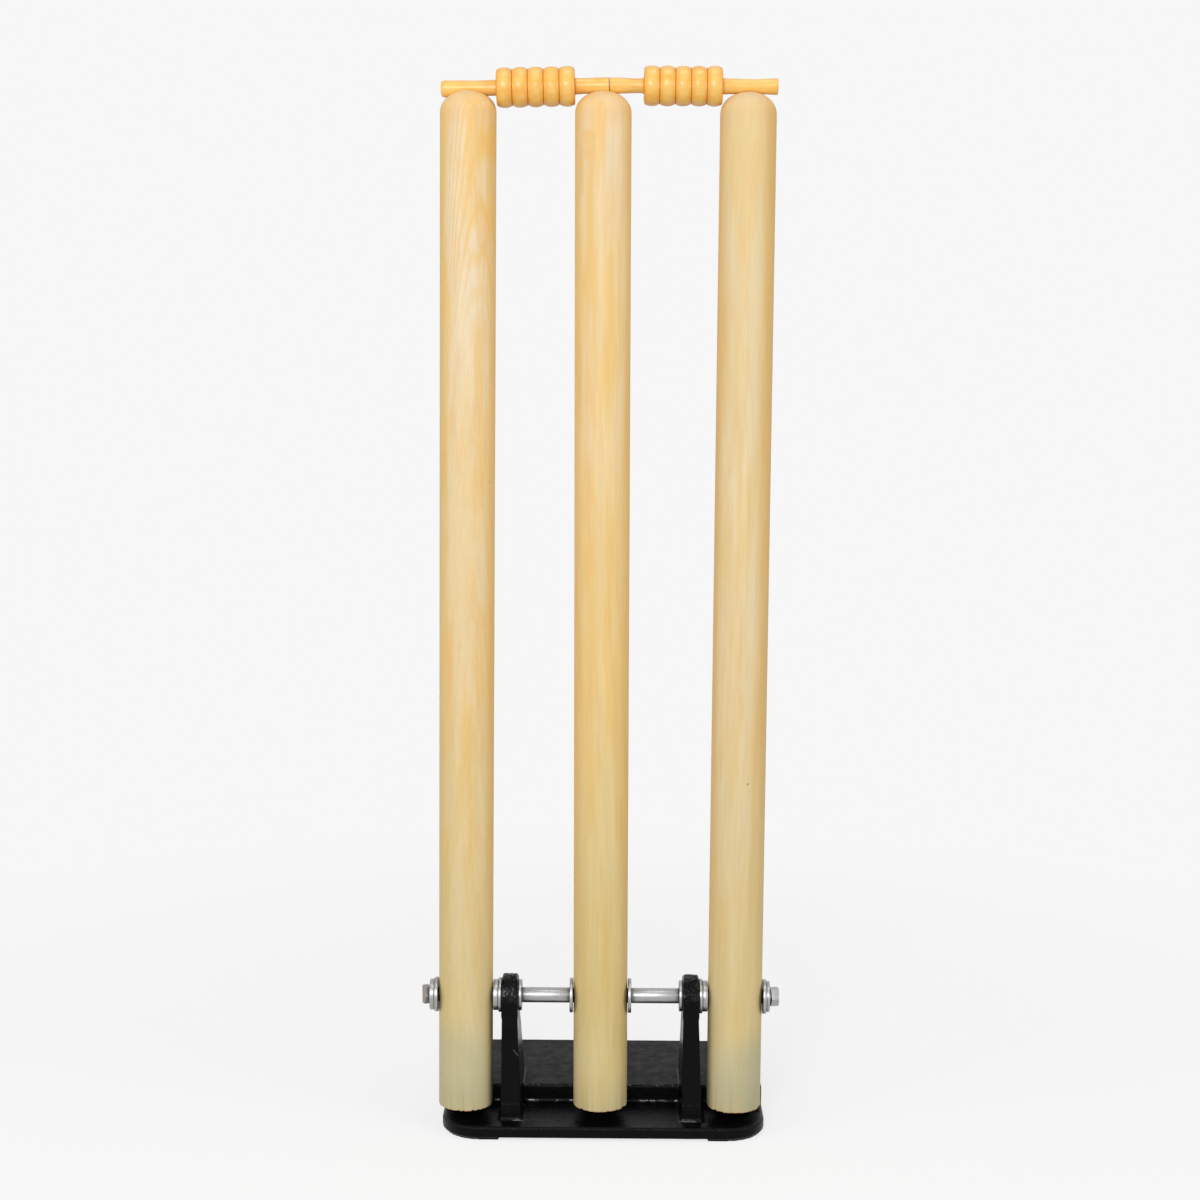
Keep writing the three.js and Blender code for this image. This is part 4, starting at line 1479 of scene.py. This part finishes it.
    def flare(self, centre: Vector) -> None:
        """Pulls an upright's selected underside down in steps that widen in a hollow curve.

        Args:
            centre: The underside's middle.
        """
        wide, deep = self.foot_half, (self.gusset + self.eye_radius) / 2
        for (cos, sin), (next_cos, next_sin) in pairwise(swept(0.0, QUARTER, 5)):
            pull(Z_AXIS * self.fillet * (sin - next_sin))
            flare, grown = self.fillet * (1 - cos), self.fillet * (1 - next_cos)
            share = ((wide + grown) / (wide + flare), (deep + grown) / (deep + flare), 1.0)
            bpy.ops.transform.resize(value=share, center_override=centre)
        pull(Z_AXIS * -2 * MM)

    def fillet_strip(self) -> Object:
        """Makes the hollow curve where the apron runs up into the step.

        Returns:
            The strip.
        """
        radius, inset = self.step_fillet, self.step_corner
        section = [(MM, -MM), (MM, radius)]
        section += [(radius * (cos - 1), radius * (1 - sin)) for cos, sin in swept(0.0, QUARTER, 6)]
        section.append((-radius, -MM))
        points = [Vector((self.left + inset, self.step + y, self.apron_top + z)) for y, z in section]
        return prism("fillet", points, X_AXIS * (self.right - self.left - 2 * inset))

    def stop(self, station: Station) -> Object:
        """Makes the stop that a stump's back rests against.

        Args:
            station: The stump's station.

        Returns:
            The stop.
        """
        low = Vector((station.x - self.stop_half, AXLE.y + self.stop_reach, self.apron_top - MM))
        back = self.step + self.step_corner
        high = Vector((station.x + self.stop_half, back, self.platform_top - self.stop_drop))
        obj = self.slab("stop", low, high, self.stop_corners, self.stop_edge)
        foot = Vector((station.x, AXLE.y, 0.0))
        combine(obj, "DIFFERENCE", rod("cradle", foot, foot + Z_AXIS * 0.1, self.cradle))
        return obj

    def anchor_pad(self, station: Station) -> Object:
        """Makes the raised round pad that a spring's anchor stands on.

        Args:
            station: The spring's station.

        Returns:
            The pad.
        """
        low = Vector((station.x, self.back - self.anchor_setback, self.platform_top - MM))
        obj = rod("pad", low, low + Z_AXIS * (self.pad_rise + MM), self.pad_radius)
        with editing(obj):
            choose(obj, "FACE", lambda p: p.z > self.platform_top + MM)
            bevel(self.pad_rise / 2, 3, rim=True)
        return obj

    def feet(self) -> Iterator[Object]:
        """Makes the low pads under the four corners, trimmed to the base's outline.

        Returns:
            The pads, each made when it is wanted.
        """
        inset, rise = self.foot_inset, self.pad_height
        left, right = self.left + inset, self.right - inset
        front, back = self.front + inset, self.back - inset
        inner = (self.left + self.foot_reach, self.right - self.foot_reach)
        for x0, x1 in ((left, inner[0]), (inner[1], right)):
            for y0, y1 in ((front, self.front + self.front_foot), (self.back - self.back_foot, back)):
                foot = block("foot", Vector((x0, y0, 0.0)), Vector((x1, y1, rise + MM)))
                low, high = Vector((left, front, -MM)), Vector((right, back, rise + 2 * MM))
                combine(foot, "INTERSECT", self.slab("outline", low, high, (self.corner - inset,) * 2))
                yield foot

    def hollows(self) -> Iterator[Object]:
        """The cores that hollow out the underside between its ribs.

        Returns:
            The cores, each made when it is wanted.
        """
        rib, margin, upright = self.rib_half, self.hollow_margin, self.upright_x
        ends = (self.left + margin, -upright - rib, rib - upright, -rib)
        ends += (rib, upright - rib, upright + rib, self.right - margin)
        for x0, x1 in zip(ends[::2], ends[1::2]):
            low = Vector((x0, self.step + margin / 2, -MM))
            high = Vector((x1, self.back - margin, self.pad_height + self.hollow_depth))
            yield self.slab("hollow", low, high, (self.hollow_corner,) * 2, self.hollow_edge)

    def joined(self) -> Object:
        """Joins the casting's parts.

        Returns:
            The casting, crisp and without its drilled holes.
        """
        low = Vector((self.left, self.front, self.pad_height))
        high = Vector((self.right, self.back, self.apron_top))
        casting = self.slab("casting", low, high, (self.corner,) * 2, self.edge, self.lower_edge)
        low = Vector((self.left, self.step, self.pad_height + self.lower_edge))
        high = Vector((self.right, self.back, self.platform_top))
        platform = self.slab("platform", low, high, (self.step_corner, self.corner), self.edge)
        combine(casting, "UNION", platform)
        combine(casting, "UNION", self.fillet_strip())
        for sign in (-1, 1):
            combine(casting, "UNION", self.upright(sign * self.upright_x))
        for station in Station:
            combine(casting, "UNION", self.stop(station))
            combine(casting, "UNION", self.anchor_pad(station))
        for foot in self.feet():
            combine(casting, "UNION", foot)
        for hollow in self.hollows():
            combine(casting, "DIFFERENCE", hollow)
        return casting

    def mark_eyes(self, casting: Object) -> None:
        """Marks the fronts and tops of the eyes, which came rougher from the mould.

        Args:
            casting: The casting.
        """
        group = casting.vertex_groups.new(name="eyes")
        for corner in casting.data.vertices:
            high = min(max((corner.co.z - AXLE.z + 0.004) / 0.005, 0.0), 1.0)
            share = high * (1.0 - abs(corner.normal.x))
            if share > 0.02:
                group.add([corner.index], share, "REPLACE")

    def roughen(self, casting: Object, name: str, grain: float, height: float, group: str = "") -> None:
        """Gives the casting the unevenness that a sand mould leaves.

        Args:
            casting: The casting.
            name: The sand's name.
            grain: The size of its lumps.
            height: How far they stand out.
            group: The corners that it is for, if not all.
        """
        sand = bpy.data.textures.new(name, "CLOUDS")
        sand.noise_scale = grain
        sand.noise_depth = 3
        modify(casting, "DISPLACE", texture=sand, strength=height, mid_level=0.5, vertex_group=group)

    def build(self) -> None:
        """Casts, fettles, drills and dresses the base, with its feet kept on the floor."""
        obj = self.joined()
        modify(obj, "REMESH", mode="VOXEL", voxel_size=self.voxel, use_smooth_shade=True)
        modify(obj, "SMOOTH", factor=0.5, iterations=3)
        self.mark_eyes(obj)
        self.roughen(obj, "Sand mould", self.sand_grain, self.sand_height)
        self.roughen(obj, "Rough sand", self.grit_grain, self.grit_height, "eyes")
        for corner in obj.data.vertices:
            corner.co.z = max(corner.co.z, 0.0)
        modify(obj, "DECIMATE", ratio=self.kept_share)
        combine(obj, "DIFFERENCE", rod("axle_hole", AXLE.at(-0.09), AXLE.at(0.09), self.axle_hole))
        for station in Station:
            low = Vector((station.x, self.back - self.anchor_setback, self.platform_top - self.anchor_depth))
            top = low + Z_AXIS * (self.anchor_depth + 0.005)
            combine(obj, "DIFFERENCE", rod("anchor_hole", top, low, self.anchor_hole))
        obj.name = "cast_base"
        dress(obj, self.finishes.enamel, 60.0, "base_casting", "base")
        log.info("base made")


@dataclass
class SpringGear:
    """A stump's screw eye, its anchor on the platform and the spring between them."""

    station: Station
    finishes: Finishes
    eye_mean: float = 0.0044
    eye_wire: float = 0.0014
    eye_y: float = 0.02545
    eye_drop: float = 0.0476
    shank_length: float = 0.014
    shank_radius: float = 0.0015
    shank_point: float = 0.003
    thread_pitch: float = 0.0012
    stump_radius: float = 0.01905
    anchor_y: float = 0.0482
    pad_top: float = 0.0243
    ring_rise: float = 0.0081
    seat: float = 0.0002
    bolt_radius: float = 0.002
    bolt_depth: float = 0.011
    flange: tuple[Span, ...] = (
        (0.0047, 0.0),
        (0.005, 0.0004),
        (0.005, 0.0011),
        (0.0046, 0.0015),
        (0.0025, 0.0016),
    )
    flange_top: float = 0.0021
    wire: float = 0.0009
    coil: float = 0.0064
    turns: int = 18
    turn_steps: int = 28
    hook: float = 0.0045
    hook_rise: float = 0.0042
    hook_gap: float = 0.0003
    stretch_shares: Span = (0.6, 0.06)

    @property
    def eye_place(self) -> Vector:
        """The middle of the stump's eye, with the stump's lean."""
        centre = self.station.centre
        return tilted(centre, self.station.lean) @ (centre + Vector((0.0, self.eye_y, -self.eye_drop)))

    @property
    def anchor_place(self) -> Vector:
        """The middle of the anchor's eye."""
        return Vector((self.station.x, self.anchor_y, self.pad_top + self.ring_rise))

    def eye(self, name: str, place: Vector, shank: Profile, axis: Vector, sides: int) -> Object:
        """Bends a wire into an eye that stands in the plane of the swing, on a turned shank.

        Args:
            name: The piece's name.
            place: The eye's middle.
            shank: The shank's profile, from that middle.
            axis: The shank's axis.
            sides: How many sides the shank has.

        Returns:
            The eye.
        """
        size = {"major_radius": self.eye_mean, "minor_radius": self.eye_wire}
        pick()
        bpy.ops.mesh.primitive_torus_add(
            location=place, rotation=(0.0, QUARTER, 0.0), major_segments=48, minor_segments=16, **size
        )
        obj = named(name)
        combine(obj, "UNION", turn("shank", shank, place, axis, sides))
        return obj

    def stump_eye(self) -> None:
        """Makes the screw eye in the stump's back."""
        radius, point, pitch = self.shank_radius, self.shank_point, self.thread_pitch
        face = self.stump_radius - self.eye_y
        tip = face - self.shank_length
        profile = [(0.0, tip), (radius * 0.5, tip + point / 2), (radius, tip + point)]
        thread = tip + point
        while thread < face - point:
            profile += [(radius * 0.78, thread + pitch / 3), (radius, thread + pitch * 2 / 3)]
            thread += pitch
        profile += [(radius, -self.eye_mean), (0.0, -self.eye_mean)]
        word = self.station.word
        obj = self.eye(f"screw_eye_{word}", self.eye_place, profile, Y_AXIS, 24)
        dress(obj, self.finishes.bright, 40.0, f"stump_eye_{word}", f"stump_{word}")

    def anchor(self) -> None:
        """Makes the eye bolt in the platform."""
        seat, radius = self.seat - self.ring_rise, self.bolt_radius
        profile = [(0.0, seat - self.bolt_depth), (radius, seat - self.bolt_depth), (radius, seat)]
        profile += [(wide, seat + high) for wide, high in self.flange]
        profile += [(radius, seat + self.flange_top), (radius, -self.eye_mean), (0.0, -self.eye_mean)]
        word = self.station.word
        obj = self.eye(f"eye_bolt_{word}", self.anchor_place, profile, Z_AXIS, 40)
        dress(obj, self.finishes.bright, 40.0, f"spring_anchor_{word}", "base")

    def hook_line(self, sign: int) -> list[tuple[float, float, float]]:
        """One hook: a curve in from the coil, a half circle through the eye and a short tail.

        Args:
            sign: The side that its half circle starts on.

        Returns:
            Places across, above and along the spring, counted outwards from the coil's end.
        """
        rise, across = self.hook_rise, sign * self.hook
        ends = ((0.0, -self.coil, 0.0), (across * 0.6, -self.coil, rise * 0.1))
        ends += ((across, 0.0, rise * 0.4), (across, 0.0, rise))
        line = []
        for step in range(1, 11):
            t = step / 10
            shares = ((1 - t) ** 3, 3 * t * (1 - t) ** 2, 3 * t * t * (1 - t), t**3)
            line.append(tuple(sum(share * end[k] for share, end in zip(shares, ends)) for k in range(3)))
        for cos, sin in swept(0.0, math.pi, 18)[1:]:
            line.append((across * cos, 0.0, rise + self.hook * sin))
        return [*line, (-across, 0.0, rise - 2 * self.wire)]

    def path(self) -> list[Vector]:
        """The spring's centre line, from the hook in the stump's eye to the hook in the anchor.

        Returns:
            The points that the wire follows.
        """
        eye, anchor = self.eye_place, self.anchor_place
        along = (anchor - eye).normalized()
        across = (X_AXIS - along * X_AXIS.dot(along)).normalized()
        above = along.cross(across)
        start = self.eye_mean - self.wire - self.eye_wire - self.hook_gap + self.hook + self.hook_rise
        length = (anchor - eye).length - 2 * start
        steps = self.turns * self.turn_steps
        turned = swept(-QUARTER, math.tau * self.turns - QUARTER, steps)
        line = [(u, v, start - w) for u, v, w in reversed(self.hook_line(-1))]
        line += [
            (self.coil * cos, self.coil * sin, start + length * step / steps)
            for step, (cos, sin) in enumerate(turned)
        ]
        line += [(u, v, start + length + w) for u, v, w in self.hook_line(1)]
        return [eye + across * u + above * v + along * w for u, v, w in line]

    def spring(self) -> None:
        """Winds the spring along its path."""
        word, points = self.station.word, self.path()
        pick()
        bpy.ops.curve.primitive_nurbs_path_add()
        obj = bpy.context.object
        curve = obj.data
        curve.splines.clear()
        spline = curve.splines.new("POLY")
        spline.points.add(len(points) - 1)
        for point, place in zip(spline.points, points):
            point.co = (*place, 1.0)
        curve.dimensions = "3D"
        curve.bevel_depth = self.wire
        curve.bevel_resolution = 3
        curve.use_fill_caps = True
        obj.location = (0.0, 0.0, 0.0)
        pick(obj)
        bpy.ops.object.convert(target="MESH")
        obj = named(f"coil_spring_{word}")
        tidy_shell(obj, 1e-7)
        dress(obj, self.finishes.spring, 60.0, f"return_spring_{word}")
        start, end = (self.eye_place.lerp(self.anchor_place, share) for share in self.stretch_shares)
        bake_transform(obj)
        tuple(start)
        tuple(end)

    def build(self) -> None:
        """Makes the eye, the anchor and the spring."""
        self.stump_eye()
        self.anchor()
        self.spring()
        log.info("spring gear %s made", self.station.word)


@dataclass(frozen=True)
class Lamp:
    """A square soft lamp: its place, its side and its power in watts."""

    name: str
    place: Colour
    size: float
    power: float

    def hang(self, aim: Vector) -> None:
        """Hangs the lamp.

        Args:
            aim: What it points at.
        """
        data = bpy.data.lights.new(self.name, "AREA")
        data.shape = "SQUARE"
        data.size = self.size
        data.energy = self.power
        lamp = bpy.data.objects.new(self.name, data)
        bpy.context.scene.collection.objects.link(lamp)
        lamp.rotation_euler = (aim - Vector(self.place)).to_track_quat("-Z", "Y").to_euler()
        lamp.location = self.place


@dataclass
class Studio:
    """The camera, the pale floor and the plain light."""

    camera_place: Colour = (0.0026, -1.5978, 0.5904)
    lens: float = 67.755
    pitch: float = 0.1348
    yaw: float = 0.0031
    roll: float = 0.0067
    backdrop: Colour = (0.93, 0.93, 0.93)
    ambient: float = 0.42
    floor_tone: Colour = (0.25, 0.25, 0.25)
    floor_lift: float = 0.73
    floor_radius: float = 3.0
    floor_fade: Span = (0.3, 0.9)
    aim: Vector = Vector((0.0, 0.0, 0.42))
    lamps: tuple[Lamp, ...] = (
        Lamp("Key softbox", (-0.35, -2.3, 1.2), 0.9, 24.0),
        Lamp("Left softbox", (-1.9, -1.2, 0.8), 1.2, 11.0),
        Lamp("Right softbox", (1.9, -1.2, 0.8), 1.2, 13.0),
        Lamp("Top softbox", (0.1, -0.3, 2.3), 0.8, 5.0),
        Lamp("Small lamp", (-0.25, -1.9, 1.9), 0.13, 1.6),
    )

    def set_camera(self) -> None:
        """Places the camera where the photograph was taken from."""
        data = bpy.data.cameras.new("Camera")
        data.lens = self.lens
        data.sensor_width = 36.0
        data.clip_start = 0.05
        camera = bpy.data.objects.new("Camera", data)
        bpy.context.scene.collection.objects.link(camera)
        turned = Matrix.Rotation(self.yaw, 4, "Z") @ Matrix.Rotation(QUARTER - self.pitch, 4, "X")
        turned = turned @ Matrix.Rotation(self.roll, 4, "Z")
        camera.matrix_world = Matrix.Translation(self.camera_place) @ turned
        bpy.context.scene.camera = camera

    def seen(self, tree: Tree) -> Field:
        """Whether a ray is one that shows the backdrop: to the camera, in gloss or through glass.

        Args:
            tree: The node tree that the test goes into.

        Returns:
            1 where it is.
        """
        kinds = ("Is Camera Ray", "Is Glossy Ray", "Is Transmission Ray")
        camera, gloss, glass = (add_node(tree, "LightPath", {}, kind) for kind in kinds)
        return camera | gloss | glass

    def lay_floor(self) -> None:
        """Lays a round floor, lifted to the backdrop's tone where it is seen, whose rim fades away."""
        pick()
        bpy.ops.mesh.primitive_circle_add(vertices=96, radius=self.floor_radius, fill_type="NGON")
        floor = named("floor")
        paint = Paint("Pale floor")
        surface = {
            "Roughness": 0.9,
            "Specular IOR Level": 0.0,
            "Base Color": self.floor_tone,
            "Emission Color": (1.0, 1.0, 1.0),
            "Emission Strength": self.seen(paint.tree) * self.floor_lift,
        }
        shader = Field(fill(paint.shader, surface).outputs[0])
        away = paint.place.vector("LENGTH").ramp(*self.floor_fade)
        clear = add_node(paint.tree, "BsdfTransparent", {})
        faded = add_node(paint.tree, "MixShader", {0: away, 1: shader, 2: clear})
        fill(paint.tree.nodes["Material Output"], {"Surface": faded})
        floor.data.materials.append(paint.material)

    def build(self) -> None:
        """Sets up the floor, an even light that the camera and gloss see as the backdrop, and the lamps."""
        self.lay_floor()
        world = bpy.data.worlds.new("Studio")
        bpy.context.scene.world = world
        world.use_nodes = True
        strength = self.seen(world.node_tree).ramp(0.0, 1.0, self.ambient, 1.0)
        fill(world.node_tree.nodes["Background"], {"Color": self.backdrop, "Strength": strength})
        for lamp in self.lamps:
            lamp.hang(self.aim)


@dataclass(frozen=True)
class BailSeats:
    """Where the bails lie: how high the crests are, how deep the spigots sink and where they meet."""

    crest: float = 0.7256
    left_sink: float = 0.0047
    sink: float = 0.0022
    radius: float = 0.0055
    meeting: float = 0.00185
    gap: float = 0.00002
    left_tip: float = 0.0017
    right_tip: float = 0.0008

    def lay(self) -> dict[Side, Bail]:
        """Sets out the two bails by the heights of their grooves.

        Returns:
            The bails by side.
        """
        reach = self.crest - AXLE.z
        tops = {station: station.x + reach * math.sin(station.lean) for station in Station}
        heights = {station: self.crest - self.sink + self.radius for station in Station}
        heights[Station.LEFT] = self.crest - self.left_sink + self.radius
        bails = {}
        for side, first, second, rounding in (
            (Side.LEFT, Station.LEFT, Station.MIDDLE, self.left_tip),
            (Side.RIGHT, Station.MIDDLE, Station.RIGHT, self.right_tip),
        ):
            slope = (heights[second] - heights[first]) / (tops[second] - tops[first])
            end = self.meeting + side.value * self.gap
            height = heights[first] + slope * (end - tops[first])
            bails[side] = Bail(side, end, height, math.atan(slope), tip_round=rounding)
        return bails


def main() -> None:
    """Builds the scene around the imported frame."""
    logging.basicConfig(level=logging.INFO, format="%(message)s")
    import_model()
    bpy.context.scene.view_settings.view_transform = "Standard"
    studio = Studio()
    studio.set_camera()
    finishes = Finishes()
    BaseCasting(finishes).build()
    AxleHardware(finishes).build()
    bails = BailSeats().lay()
    left, right = bails[Side.LEFT], bails[Side.RIGHT]
    rests = {Station.LEFT: (left,), Station.MIDDLE: (left, right), Station.RIGHT: (right,)}
    for station in Station:
        Stump(station, rests[station]).build()
        log.info("stump %s made", station.word)
        SpringGear(station, finishes).build()
    for bail in bails.values():
        bail.build()
        log.info("bail %s made", bail.side.word)
    studio.build()


if __name__ == "__main__":
    main()
